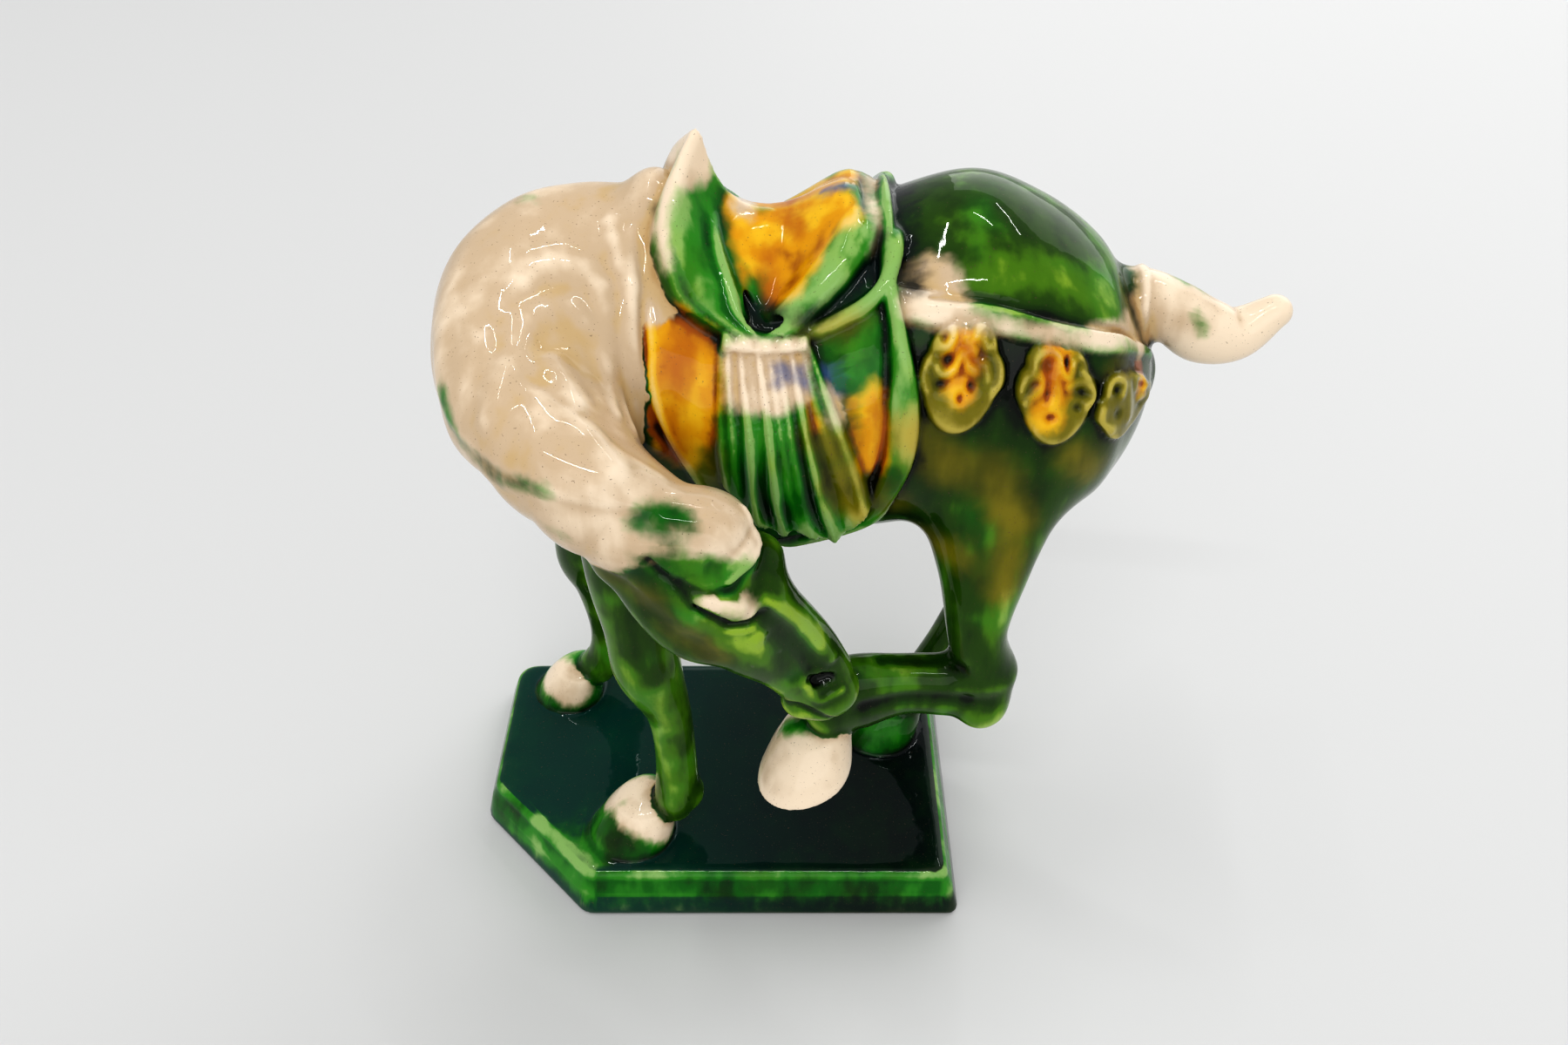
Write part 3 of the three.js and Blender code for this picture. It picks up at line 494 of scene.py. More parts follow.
def add_eye_and_forelock_folds(clay):
    edge = [
        (11, -49.8, 150.3), (13, -51.6, 147.5), (13.8, -52.5, 144.5),
        (11, -56.6, 142.2), (8.8, -58.3, 140.2),
    ]
    welt(clay, edge, (0.6, 0.9, 1, 0.9, 0.5), 0.5, FORELOCK, 0.8)
    under = [
        (15.4, -50, 144.5), (14.8, -53, 142.5), (13, -56, 140.8), (10.6, -58.2, 139.3), (8.4, -59.2, 138.8),
    ]
    groove(clay, under, (0.6, 0.9, 1, 0.9, 0.5), 0.8, 0.7)
    # The crease from the throat runs into the slit of the eye
    crease = [
        (-5, -58.5, 146.5), (-2.8, -59.1, 144), (-0.8, -59.6, 142.1),
        (1.1, -60.1, 139.7), (2.8, -60.5, 136.7),
    ]
    groove(clay, crease, (0.5, 0.7, 0.8, 0.9, 0.8), 0.7)
    lid_crease = [(0.4, -59.6, 142.1), (3.4, -59.9, 139.9), (6.4, -59.7, 139.2), (8.7, -58.5, 139.7)]
    groove(clay, lid_crease, 0.7, 0.5)
    lid = [(3.6, -60.2, 138.4), (6.1, -60.3, 137.3), (8.2, -60.2, 136.4), (10.8, -59.7, 135.4)]
    welt(clay, lid, 2, 0.7, HEAD)
    slit = [
        (2.8, -60.5, 136.7), (5, -60.5, 134.8), (7, -60.2, 132.9), (8.6, -59.6, 131.2),
        (10.5, -59.3, 130.9), (12, -59, 131), (13.9, -58, 131.4),
    ]
    groove(clay, slit, (0.6, 0.8, 1, 1.2, 1.3, 1.1, 0.6), 1.1, 0.5)
    welt(clay, [(8.9, -59.4, 130), (10.8, -59.1, 129.3), (12.8, -58.6, 129.2)], 0.8, 0.4, HEAD, 0.8)


# Nostril: a hollow with three corners, and the same on the muzzle's other side
NOSTRIL = (
    ((25.7, -50.4, 105.6), (2.2, 1.7, 1.9)), ((24.4, -52, 107.4), (1.5, 1.3, 1.1)),
    ((27.5, -49.5, 105.5), (1.6, 1.2, 1.1)),
)
MUZZLE_MIDDLE = -45.7


def add_nose_and_mouth(clay):
    crest = [
        (15, -56, 134.2), (18.7, -54.6, 129.9), (21.3, -52.7, 125.5),
        (23.9, -50.8, 120.2), (27.6, -48.8, 110.9),
    ]
    welt(clay, crest, (0.9, 1.6, 1.8, 1.7, 0.9), 0.6, HEAD, 2)
    hollow = [
        (15.3, -57.1, 131.3), (17.5, -56, 126.9), (19.8, -54.4, 120.5),
        (22.4, -52.8, 113.7), (23.8, -52.1, 110),
    ]
    groove(clay, hollow, (1.2, 2, 2.2, 1.8, 1.2), 0.9, 2)
    groove(clay, [(16.2, -57.5, 124), (18.7, -56, 118), (21.2, -54, 110.5)], (1.6, 2.4, 1.6), 0.5, 2.4)
    for (x, y, z), size in NOSTRIL:
        for here in (y, 2 * MUZZLE_MIDDLE - y):
            clay.cut(ball((x, here, z), size), 0.7)
    rim = [
        (23, -52.7, 106.4), (24.2, -52.2, 103.3), (25.9, -51.6, 100.8),
        (28, -50.9, 101.4), (30.4, -49.7, 102),
    ]
    welt(clay, rim, (0.6, 0.9, 1, 0.9, 0.6), 0.45, HEAD, 0.8)
    mouth = [
        (18.6, -50.4, 98.6), (20.8, -52, 99.6), (23.2, -52, 98.4), (25.6, -51.4, 96.4), (29.6, -49, 93.6),
    ]
    groove(clay, mouth, (0.9, 0.8, 0.7, 0.6, 0.5), 0.7, 0.6)


# Folds where the neck bends, each with its path, radius and rise: four from the withers down to
# the throat, then four broad low ones that cross the crest
NECK_FOLDS = (
    ([(-13.4, -7.1, 183.3), (-11.7, -11.5, 179.4), (-10.4, -15.2, 175.3), (-10.6, -19, 171.2),
      (-10.7, -23.4, 166.4), (-9.9, -26.5, 160.9), (-8.3, -27.6, 153.7), (-6, -27.8, 147.3)], 1.5, 1),
    ([(-9.5, -8.7, 182.3), (-9.3, -12.6, 178.3), (-9.3, -15.7, 174.6), (-9.5, -18.9, 170.7),
      (-8.9, -22.6, 165.9), (-7.8, -25.5, 160.2), (-6.3, -26.8, 153.1)], 1.1, 0.8),
    ([(-14.7, -16.8, 175.3), (-13.9, -20.2, 171.9), (-13.5, -23.2, 169.1), (-12.7, -27, 165.1),
      (-11.1, -31.1, 160.2), (-8.7, -35.8, 157.5)], 1.5, 0.6),
    ([(-14.4, -27.2, 167.1), (-13.2, -30.4, 163.6), (-11.1, -36.2, 161.1)], 1.2, 0.45),
    ([(-28, -19.8, 178.8), (-25.3, -17, 179.4), (-20.8, -15.4, 179), (-16.2, -16.1, 176.7),
      (-13.2, -18.7, 172.8)], 3, 0.15),
    ([(-28, -36.1, 171.3), (-27.2, -29.1, 173.9), (-24.7, -25, 174.9), (-20.4, -22.8, 174.4),
      (-15.9, -24, 170.6), (-14, -28.3, 166)], 3, 0.15),
    ([(-31.7, -44.7, 166.5), (-29.8, -39.8, 170.2), (-26.6, -35.8, 171.1), (-20.9, -35.1, 168.8),
      (-17.6, -39.6, 166.4)], 3, 0.15),
    ([(-21.5, -33.3, 169.7), (-18.4, -38.9, 166.9), (-15.5, -43.1, 165.3), (-12.3, -48.4, 163.7),
      (-10, -51.5, 161.5)], 3, 0.15),
)


def add_neck_folds(clay):
    for path, radius, rise in NECK_FOLDS:
        fade = np.sin(np.pi * (np.arange(len(path)) + 0.5) / len(path))
        welt(clay, path, radius * (0.6 + 0.4 * fade), rise * fade, NECK, min(2.5, 1.4 * radius))


# Rings of a hoof: share of the way from the coronet to the rim, and width by that of the coronet
HOOF_SHARES = np.array([-0.16, -0.1, 0, 0.15, 0.35, 0.55, 0.8, 0.94, 1])
HOOF_WIDTHS = np.array([0.5, 0.8, 1.02, 1.16, 1.3, 1.4, 1.5, 1.5, 1.42])


def hoof(top, sole, axis, toe, size=1):
    """Rings from the coronet to the rim, all square to one axis."""
    top, sole = np.array(top, float), np.array(sole, float)
    down = unit(np.array(axis, float))
    front = np.array(toe, float)
    front = unit(front - down * (front @ down))
    across = np.cross(down, front)
    grown = HOOF_WIDTHS * HOOF_TOP * size
    angle = np.linspace(0, 2 * math.pi, 48, endpoint=False)
    length = np.where(np.cos(angle) > 0, 1.15, 0.9) * np.cos(angle)
    spot = top[None, :] + (sole - top)[None, :] * HOOF_SHARES[:, None]
    points = (
        spot[:, None, :]
        + front * (length * grown[:, None])[..., None]
        + across * (np.sin(angle) * grown[:, None])[..., None]
    )
    return closed_rings(points)


# Middle of the sole, direction of the toe and size of each
STANDING_HOOVES = (
    (-21, -22, (-0.94, -0.34, 0), 1), (-44, 26, (-1, 0, 0), 0.88), (46, 12, (-1, 0, 0), 1),
)
RAISED_HOOF = ((26.2, -37.5, 77), (24, -41, 64.3), (0.3, 0.05, -1), (-1, -0.5, 0))


def add_hooves(clay):
    for x, y, toe, size in STANDING_HOOVES:
        back = HOOF_SLANT * size
        top = (x - toe[0] * back, y - toe[1] * back, PLINTH_HEIGHT + HOOF_HEIGHT * size)
        clay.add(hoof(top, (x, y, PLINTH_HEIGHT - 1), (0, 0, -1), toe, size), 1.2, HOOF)
    clay.add(hoof(*RAISED_HOOF), 1.2, HOOF)


# Plinth

def plinth_outline(inset):
    x = PLINTH_LENGTH / 2 - inset
    y = PLINTH_WIDTH / 2 - inset
    cut = PLINTH_CORNER_CUT - inset * (2 - math.sqrt(2))
    corners = [
        ((-x + cut, -y), PLINTH_CUT_ROUND), ((x, -y), PLINTH_NEAR_ROUND), ((x, y), PLINTH_CORNER_ROUND),
        ((-x, y), PLINTH_CORNER_ROUND), ((-x, -y + cut), PLINTH_CUT_ROUND),
    ]
    outline = []
    for i, (corner, radius) in enumerate(corners):
        corner = np.array(corner)
        before = np.array(corners[i - 1][0]) - corner
        after = np.array(corners[(i + 1) % len(corners)][0]) - corner
        start, end = corner + unit(before) * radius, corner + unit(after) * radius
        for s in np.linspace(0, 1, 8):
            outline.append((1 - s) ** 2 * start + 2 * s * (1 - s) * corner + s * s * end)
    return np.array(outline)


def add_plinth(clay):
    turn = np.linspace(0, math.pi / 2, 6)
    inset = [-PLINTH_FLARE + PLINTH_FOOT, -PLINTH_FLARE, -PLINTH_FLARE * 0.5]
    height = [0, PLINTH_FOOT, PLINTH_HEIGHT * 0.5]
    inset += list(PLINTH_EDGE_ROUND * (1 - np.cos(turn)))
    height += list(PLINTH_HEIGHT - PLINTH_EDGE_ROUND * (1 - np.sin(turn)))
    rows = []
    for i, h in zip(inset, height):
        outline = plinth_outline(i)
        rows.append(np.column_stack([outline, np.full(len(outline), h)]))
    clay.add(closed_rings(np.array(rows)), 1.5, PLINTH)


# Blanket, apron and saddle

# Rear and front edge of the blanket, at equal turns from its hem to the back
BLANKET_REAR = (20, 36.3, 40.8, 43.6, 43.5, 41, 39, 39, 39)
BLANKET_FRONT = (14, 7, 1.6, -3.4, -6.7, -6.8, -7.5, -7.8, -8.6)
BLANKET_HEM = -46
MM_PER_DEGREE = 0.6


def blanket():
    def degrees_at(v):
        return BLANKET_HEM + (180 - 2 * BLANKET_HEM) * v

    def edge_at(values, v):
        share = 2 * np.minimum(v, 1 - v)
        return through(values, share.ravel()).reshape(v.shape)

    def where(u, v):
        front = edge_at(BLANKET_FRONT, v)
        return front + (edge_at(BLANKET_REAR, v) - front) * u, degrees_at(v)

    def lift(u, v):
        turn = np.minimum(degrees_at(v), 180 - degrees_at(v))
        from_side = np.minimum(u, 1 - u) * (edge_at(BLANKET_REAR, v) - edge_at(BLANKET_FRONT, v))
        from_end = np.minimum(v, 1 - v) * (180 - 2 * BLANKET_HEM) * MM_PER_DEGREE
        behind = smoothstep(u, 0.35, 0.75)
        narrowing = 1 - 0.5 * smoothstep(turn, 17, 45)
        width = FRONT_RIM_WIDTH + (REAR_RIM_WIDTH * narrowing - FRONT_RIM_WIDTH) * behind
        edge = np.minimum(from_side, from_end + 0.4)
        rim = np.sqrt(np.clip(1 - (2 * edge / width - 1) ** 2, 0, 1)) * (0.3 + 0.7 * behind)
        trough = bell(edge, width + 0.6, 0.8) * behind
        base = BLANKET_LIFT * (0.35 + 0.65 * smoothstep(edge, 0, 0.8))
        return base + RIM_LIFT * rim - 0.8 * trough + 0.6 * np.sin(np.pi * u)

    return slab(where, lift, 150, 420)


# Place across the apron, height at the top and height at the hem of each pleat
PLEATS = (
    (0.03, 0.6, 0.5), (0.12, 0.8, 0.5), (0.25, 0.7, 1.4), (0.33, 0.5, 0.3), (0.42, 0.8, 1.6),
    (0.52, 0.6, 0.3), (0.61, 0.6, 0.4), (0.75, 0.7, 1.7), (0.88, 0.7, 0.4), (0.97, 1.1, 1.0),
)
# Degrees of the apron's hem, at equal steps across it
APRON_HEM = (-7.6, -11.5, -15.5, -21, -24.2, -22.6, -26, -30, -28.5, -21, -12)
APRON_TOP = 41.5
APRON_FRONT = 6.6
APRON_REAR = 24
APRON_SPREAD = 12


def skirt(side):
    def where(u, v):
        left = APRON_FRONT - np.sin(0.5 * np.pi * v) + 0.8 * smoothstep(v, 0.7, 1)
        right = APRON_REAR + APRON_SPREAD * v
        hem = through(APRON_HEM, u.ravel()).reshape(u.shape)
        return left + (right - left) * u, mirror_degrees(APRON_TOP + (hem - APRON_TOP) * v, side)

    def lift(u, v):
        bent = u + 0.012 * np.sin(6 * v + 7 * u)
        wide = 0.031 + 0.014 * v
        pleats = 1.25 * sum((a + (b - a) * v) * bell(bent, place, wide) for place, a, b in PLEATS)
        flare = 1.3 * smoothstep(v, 0.72, 1) * (0.6 + 0.6 * np.cos(2 * np.pi * (2.9 * u + 0.32)))
        swell = 1.3 * np.sin(np.pi * u) ** 0.8
        raised = SKIRT_LIFT * (0.4 + 0.4 * v) + pleats + flare + swell
        return BLANKET_LIFT + raised * rounded(u, 22)

    return slab(where, lift, 260, 220)


# Gathered band over the apron: start, length and height, and the degrees of its lower edge and width
GATHER_START = 6.9
GATHER_LENGTH = 16.7
GATHER_LIFT = 3.5
GATHER_LOW = 39.7
GATHER_WIDTH = 10.3
GATHER_NARROWING = 2.4


def gathered_band(side):
    """An upright front face, then a face that leans back."""
    def where(u, v):
        degrees = GATHER_LOW + (GATHER_WIDTH - GATHER_NARROWING * u) * v
        return GATHER_START + GATHER_LENGTH * u, mirror_degrees(degrees, side)

    def lift(u, v):
        front = np.sqrt(np.clip(v / 0.14, 0, 1))
        back = 1 - 0.75 * smoothstep(v, 0.5, 1)
        folds = 0.25 * np.sin(9 * np.pi * u) * (v < 0.6)
        return BLANKET_LIFT + (GATHER_LIFT * front * back + folds) * rounded(u, 16)

    return slab(where, lift, 120, 50)


# Edge of the saddle pad from the back in front, round the side, to the back behind
PAD_EDGE = (
    (0, 90), (-1.5, 74), (-1, 60), (3, 51), (9, 47.4), (16, 46.8), (24.5, 46.6), (34, 50.3),
    (38, 58.5), (39.3, 73), (39, 90),
)
PAD_RIM_SINK = 5


def pad_rim(side):
    x, degrees = through(PAD_EDGE, np.linspace(0, 1, 41)).T
    sunk = PAD_RIM_SINK * smoothstep(degrees, 62, 84)
    path = on_trunk(x, mirror_degrees(degrees, side), BLANKET_LIFT + 0.6 - sunk)
    return tube(path, PAD_RIM_RADIUS, rings=240, sides=28)


SADDLE_RIDGE = [
    (-4, 177), (-2, 189), (0, 193.8), (1.3, 197), (2.6, 198.4), (3.8, 197), (4.6, 193.5), (6, 189.5),
    (8, 186), (11, 183.6), (14, 182.4), (17, 182.2), (20, 182.8), (23, 184), (26, 185.8),
    (28.5, 186.8), (30.5, 187.2), (32.5, 186.4), (34, 184.2), (35.5, 181), (37, 176),
]
SADDLE_LEFT = (-1.2, -3.4, -5.2, -6, -5.6, -4.2, -1.6, 6.6)
SADDLE_RIGHT = (36.8, 36.9, 36.7, 36, 34.4, 31, 26.4, 21.5)
LEAF_EDGE = (0.2, 0.24, 0.28, 0.32, 0.36, 0.41, 0.46, 0.5)
CANTLE_EDGE = (0.93, 0.88, 0.83, 0.78, 0.73, 0.68, 0.62, 0.56)
COVER_THICKNESS = 2.0
# Height, start, end and roundness of each lobe of the front leaf
LEAF_LOBES = ((0.9, 0, 0.27, 0.7), (1.7, 0.22, 0.84, 0.8), (1.2, 0.8, 1.06, 0.8))


def saddle_relief(u, v, leaf_edge, cantle_edge):
    """Front leaf of three lobes, hollow seat, and rear leaf with a raised border."""
    s = np.clip(u / leaf_edge, 0, 1)
    q = np.clip((u - leaf_edge) / (cantle_edge - leaf_edge), 0, 1)
    w = np.clip((u - cantle_edge) / (1 - cantle_edge), 0, 1)
    front = sum(height * bump(s, low, high) ** power for height, low, high, power in LEAF_LOBES)
    rear = 1.5 * bump(w, 0, 1) ** 0.7 + 0.7 * bell(w, 0.9, 0.07)
    hollow = 2.7 * np.sin(np.pi * q) ** 0.9 * smoothstep(v, 0.1, 0.55)
    return smoothstep(v, 0.07, 0.42) * (front * (s < 1) + rear * (w > 0)) - hollow


def saddle_cover():
    """One skin from gather to gather over the ridge."""
    long, wide = 361, 240
    way = np.linspace(-1, 1, long)
    v, u = np.meshgrid(np.abs(way), np.linspace(0, 1, wide), indexing="ij")

    def curve(values):
        return through(values, v.ravel()).reshape(v.shape)

    left, right, leaf_edge, cantle_edge = map(curve, (SADDLE_LEFT, SADDLE_RIGHT, LEAF_EDGE, CANTLE_EDGE))
    x = left + (right - left) * u
    degrees = 90 - 44 * v ** 0.95
    degrees = np.where(way[:, None] > 0, 180 - degrees, degrees)
    x_ridge = SADDLE_LEFT[0] + (SADDLE_RIGHT[0] - SADDLE_LEFT[0]) * u
    ridge = np.interp(x_ridge, *np.array(SADDLE_RIDGE).T)
    back = on_trunk(x_ridge, 90, BLANKET_LIFT + COVER_THICKNESS)[..., 2]
    rise = np.maximum(ridge - back, 0) * (1 - v) ** 1.45
    swell = COVER_THICKNESS + 0.9 * np.sin(np.pi * v)
    lift = BLANKET_LIFT + (swell + saddle_relief(u, v, leaf_edge, cantle_edge)) * rounded(u, 14)
    top = on_trunk(x, degrees, lift)
    top[..., 2] += rise
    return closed_slab(top, on_trunk(x, degrees, -3))


# Lines cut into the trunk: places along the horse with their degrees, height over the trunk, radii
SEAT_HOLLOWS = (
    (((12.6, 51.5), (16, 50.4), (20, 51.5)), 3.4, (1.1, 1.6, 1.2)),
    (((11.2, 62), (13, 56), (14.4, 52)), 2.8, (0.6, 1.3, 1.2)),
)
STRAP_GROOVE = (
    ((45, 48), (49, 46.8), (56, 45.2), (62, 44.4), (70, 44.6), (76, 45.6), (86, 49)),
    0.9, (0.5, 0.9, 1, 0.9, 0.9, 0.9, 0.5),
)
# Ring round the tail, at a share of the tail's length
TAIL_RING_PLACE = np.array([0.23])
TAIL_RING_RADIUS = 6.9
TAIL_RING_THICK = 0.9
# Strap from the saddle to the tail, hanging lowest in its middle
STRAP_START = 39
STRAP_LENGTH = 53
STRAP_LOWEST_X = 66
STRAP_LOWEST_DEGREES = 39
STRAP_CURVE = 0.0135


def add_harness(clay):
    clay.add(blanket(), 0.8, BLANKET, DETAIL_BAND)
    clay.add(saddle_cover(), 0.8, SADDLE, DETAIL_BAND)
    for side in (-1, 1):
        clay.detail(skirt(side), 0.5, SKIRT)
        clay.detail(pad_rim(side), 0.7, RIM)
        clay.detail(gathered_band(side), 0.5, RIM)
        for line in SEAT_HOLLOWS:
            clay.cut(trunk_line(*line, side), 1)
        clay.detail(strap(side), 0.6, STRAP)
        clay.cut(trunk_line(*STRAP_GROOVE, side), 0.8)
        for kind, (x, degrees, turn) in enumerate(MEDALLIONS):
            clay.detail(medallion(x, degrees, turn, side, kind), 0.5, MEDALLION)
    at, _, up, across = (value[0] for value in sections(with_crest(TAIL_PATH, UP), TAIL_RING_PLACE)[:4])
    angle = np.linspace(0, 2 * np.pi, 41)
    loop = at + TAIL_RING_RADIUS * (np.outer(np.cos(angle), up) + np.outer(np.sin(angle), across))
    clay.detail(tube(loop, TAIL_RING_THICK, rings=120), 0.8, TAIL)


def trunk_line(spots, lift, radii, side):
    x, degrees = np.array(spots, float).T
    return tube(on_trunk(x, mirror_degrees(degrees, side), lift), radii)


def strap(side):
    def where(u, v):
        x = STRAP_START + STRAP_LENGTH * u
        middle = STRAP_LOWEST_DEGREES + STRAP_CURVE * (x - STRAP_LOWEST_X) ** 2
        width = STRAP_WIDTH + 1.5 * (1 - smoothstep(x, 40, 56))
        return x, mirror_degrees(middle + width * (v - 0.5) / MM_PER_DEGREE, side)

    def lift(u, v):
        rib = 0.5 * bell(v, 0.86, 0.08)
        return STRAP_LIFT * rounded(v, 7) + rib + 0.25 * np.sin(np.pi * v)

    return slab(where, lift, 200, 60)


# Raised scrolls and pits of each medallion: points at a across and b up, -1 to 1, with width and
# height, different on each of them
SCROLLS = (
    (
        (((-0.72, 0.62), (-0.66, 0.86), (-0.42, 0.9), (-0.3, 0.7), (-0.42, 0.52), (-0.6, 0.56)), 0.1, 1.1),
        (((-0.62, 0.2), (-0.46, 0.06), (-0.22, 0.14), (-0.02, 0.42), (0.12, 0.2), (0.3, 0.12)), 0.08, 1.1),
        (((-0.84, 0.32), (-0.94, 0.06), (-0.8, -0.2)), 0.12, 0.8),
        (((0.22, 0.66), (0.34, 0.88), (0.62, 0.86), (0.7, 0.64), (0.52, 0.5), (0.42, 0.66)), 0.09, 1.1),
        (((0.74, 0.5), (0.94, 0.3), (0.92, -0.02), (0.78, -0.2)), 0.12, 0.8),
        (((0.02, 0.62), (0.24, 0.42), (0.5, 0.22), (0.6, 0.0)), 0.1, 0.9),
        (((-0.1, -0.5), (0.05, -0.62)), 0.4, 0.6),
    ),
    (
        (((-0.6, 0.36), (-0.52, 0.62), (-0.24, 0.76), (0.02, 0.66), (0.1, 0.4), (0.28, 0.34),
          (0.36, 0.6)), 0.08, 1.2),
        (((0.56, 0.74), (0.8, 0.72), (0.88, 0.52), (0.74, 0.36), (0.58, 0.46)), 0.09, 1.1),
        (((-0.9, 0.06), (-0.76, 0.26), (-0.5, 0.34), (-0.4, 0.14), (-0.66, -0.04), (-0.8, -0.16)), 0.1, 0.9),
        (((0.26, 0.18), (0.54, 0.28), (0.86, 0.16), (0.94, -0.06), (0.74, -0.22)), 0.1, 0.9),
        (((-0.1, 0.5), (-0.06, 0.1), (-0.12, -0.2)), 0.16, 0.8),
        (((-0.1, -0.45), (-0.05, -0.7)), 0.36, 0.5),
    ),
    (
        (((-0.7, 0.5), (-0.5, 0.82), (-0.16, 0.7), (-0.24, 0.42)), 0.1, 1.1),
        (((0.26, 0.46), (0.34, 0.8), (0.7, 0.74), (0.8, 0.4), (0.6, 0.24)), 0.1, 1.1),
        (((-0.8, 0.16), (-0.86, -0.16), (-0.6, -0.4)), 0.12, 0.9),
        (((0.0, 0.6), (0.02, 0.0), (-0.04, -0.4)), 0.12, 0.9),
        (((0.4, 0.0), (0.74, -0.1), (0.7, -0.4)), 0.12, 0.9),
    ),
)
PITS = (
    ((-0.46, -0.1, 0.16, 0.1), (0.24, -0.14, 0.1, 0.1), (0.0, -0.34, 0.08, 0.08), (0.38, 0.36, 0.1, 0.08),
     (-0.36, 0.32, 0.12, 0.1), (-0.52, 0.7, 0.08, 0.08)),
    ((-0.24, 0.06, 0.06, 0.16), (0.6, 0.06, 0.14, 0.1), (0.5, -0.24, 0.1, 0.08), (-0.16, -0.42, 0.14, 0.08),
     (-0.24, 0.52, 0.1, 0.12), (0.2, 0.62, 0.08, 0.1)),
    ((-0.42, 0.56, 0.1, 0.12), (0.5, 0.5, 0.1, 0.12), (-0.4, -0.06, 0.12, 0.16), (0.36, -0.3, 0.1, 0.12)),
)


def stroke_relief(a, b, path, width):
    """1 on the middle of a smooth stroke through the points of the path, less beside it."""
    spots = through(np.array(path, float), np.linspace(0, 1, 24))
    near = np.full(a.shape, 9.0)
    for x, y in spots:
        near = np.minimum(near, np.hypot(a - x, b - y))
    return np.exp(-((near / width) ** 2))


def palmette(a, b, kind):
    """Relief at a across and b up, both -1 to 1."""
    relief = np.zeros(a.shape)
    for path, width, height in SCROLLS[kind]:
        relief = np.maximum(relief, height * stroke_relief(a, b, path, width))
    for x, y, wide, tall in PITS[kind]:
        relief = relief - 1.1 * np.exp(-(((a - x) / wide) ** 2 + ((b - y) / tall) ** 2))
    return relief


def medallion(x, degrees, turn, side, kind):
    angle = np.linspace(0, 2 * np.pi, 150, endpoint=False)[None, :]
    r = np.concatenate([[1.0], np.linspace(1.0, 0.03, 46)])[:, None]
    point = np.maximum(0, -np.sin(angle)) ** 4
    scallop = np.abs(np.sin(3 * angle + 1.57)) ** 0.7 * smoothstep(np.sin(angle), -0.45, 0.0)
    outline = 0.97 + 0.12 * point + 0.13 * (scallop - 0.5)
    a, b = r * outline * np.cos(angle), r * outline * np.sin(angle)
    edge = np.sqrt(np.clip((1.02 - r) * 8, 0, 1))
    relief = 0.9 * palmette(a, b, kind) * smoothstep(1 - r, 0.0, 0.1)
    height = MEDALLION_LIFT * edge * (0.8 + 0.2 * r) + relief
    height[0] = -2.5
    c, s = math.cos(math.radians(turn)), math.sin(math.radians(turn))
    right, up = 0.5 * MEDALLION_WIDTH * a, 0.5 * MEDALLION_HEIGHT * b
    turned = degrees + (up * c + right * s) / MM_PER_DEGREE / 1.08
    return closed_rings(on_trunk(x + right * c - up * s, mirror_degrees(turned, side), height))


# Glaze: every field below is a distance in millimetres, positive where that glaze covers

NOWHERE = -9.0
DRESSED = (BLANKET, SKIRT, SADDLE, RIM, STRAP, MEDALLION, BODY, TAIL)


def along(points, start, end):
    """Distance of each point from the line between two places."""
    start, end = np.array(start, float), np.array(end, float)
    line = end - start
    share = np.clip((points - start) @ line / max(line @ line, 1e-9), 0, 1)
    return np.linalg.norm(points - start - share[:, None] * line, axis=1)


def streaks(points, marks):
    """The deepest place inside any of the marks, each a start, an end and a radius."""
    field = np.full(len(points), NOWHERE)
    for start, end, radius in marks:
        field = np.maximum(field, radius - along(points, start, end))
    return field


# Marks of each glaze. Those named harness are on both sides of the horse
NECK_GREEN = [
    ((-28, -3, 187), (-31, 0, 186), 1.6), ((-43, -36, 166), (-40, -43, 160), 2.2),
    ((-39.5, -44, 160), (-32, -52, 156), 2.4), ((-33, -49.5, 158), (-21, -56.5, 159), 1.5),
    ((-30, -54, 152), (-14, -61, 145), 2.6), ((-13, -60.5, 148.5), (-9, -61.5, 147), 1.2),
]
FORELOCK_GREEN = [
    ((-6, -56.5, 153), (-4.5, -55.5, 154.5), 2), ((-4.5, -55.5, 154.5), (0, -55, 154), 1.9),
    ((0, -55.5, 153.5), (2.5, -56.5, 152.5), 1.8), ((-2.5, -56.5, 153), (-1, -58.5, 150), 2),
    ((-1, -58.5, 150), (-0.5, -59, 145), 2),
]
TAIL_GREEN = [((96, 0, 167.5), (101, -2, 163), 1.2), ((99, -7, 163), (101, -8, 160), 1)]
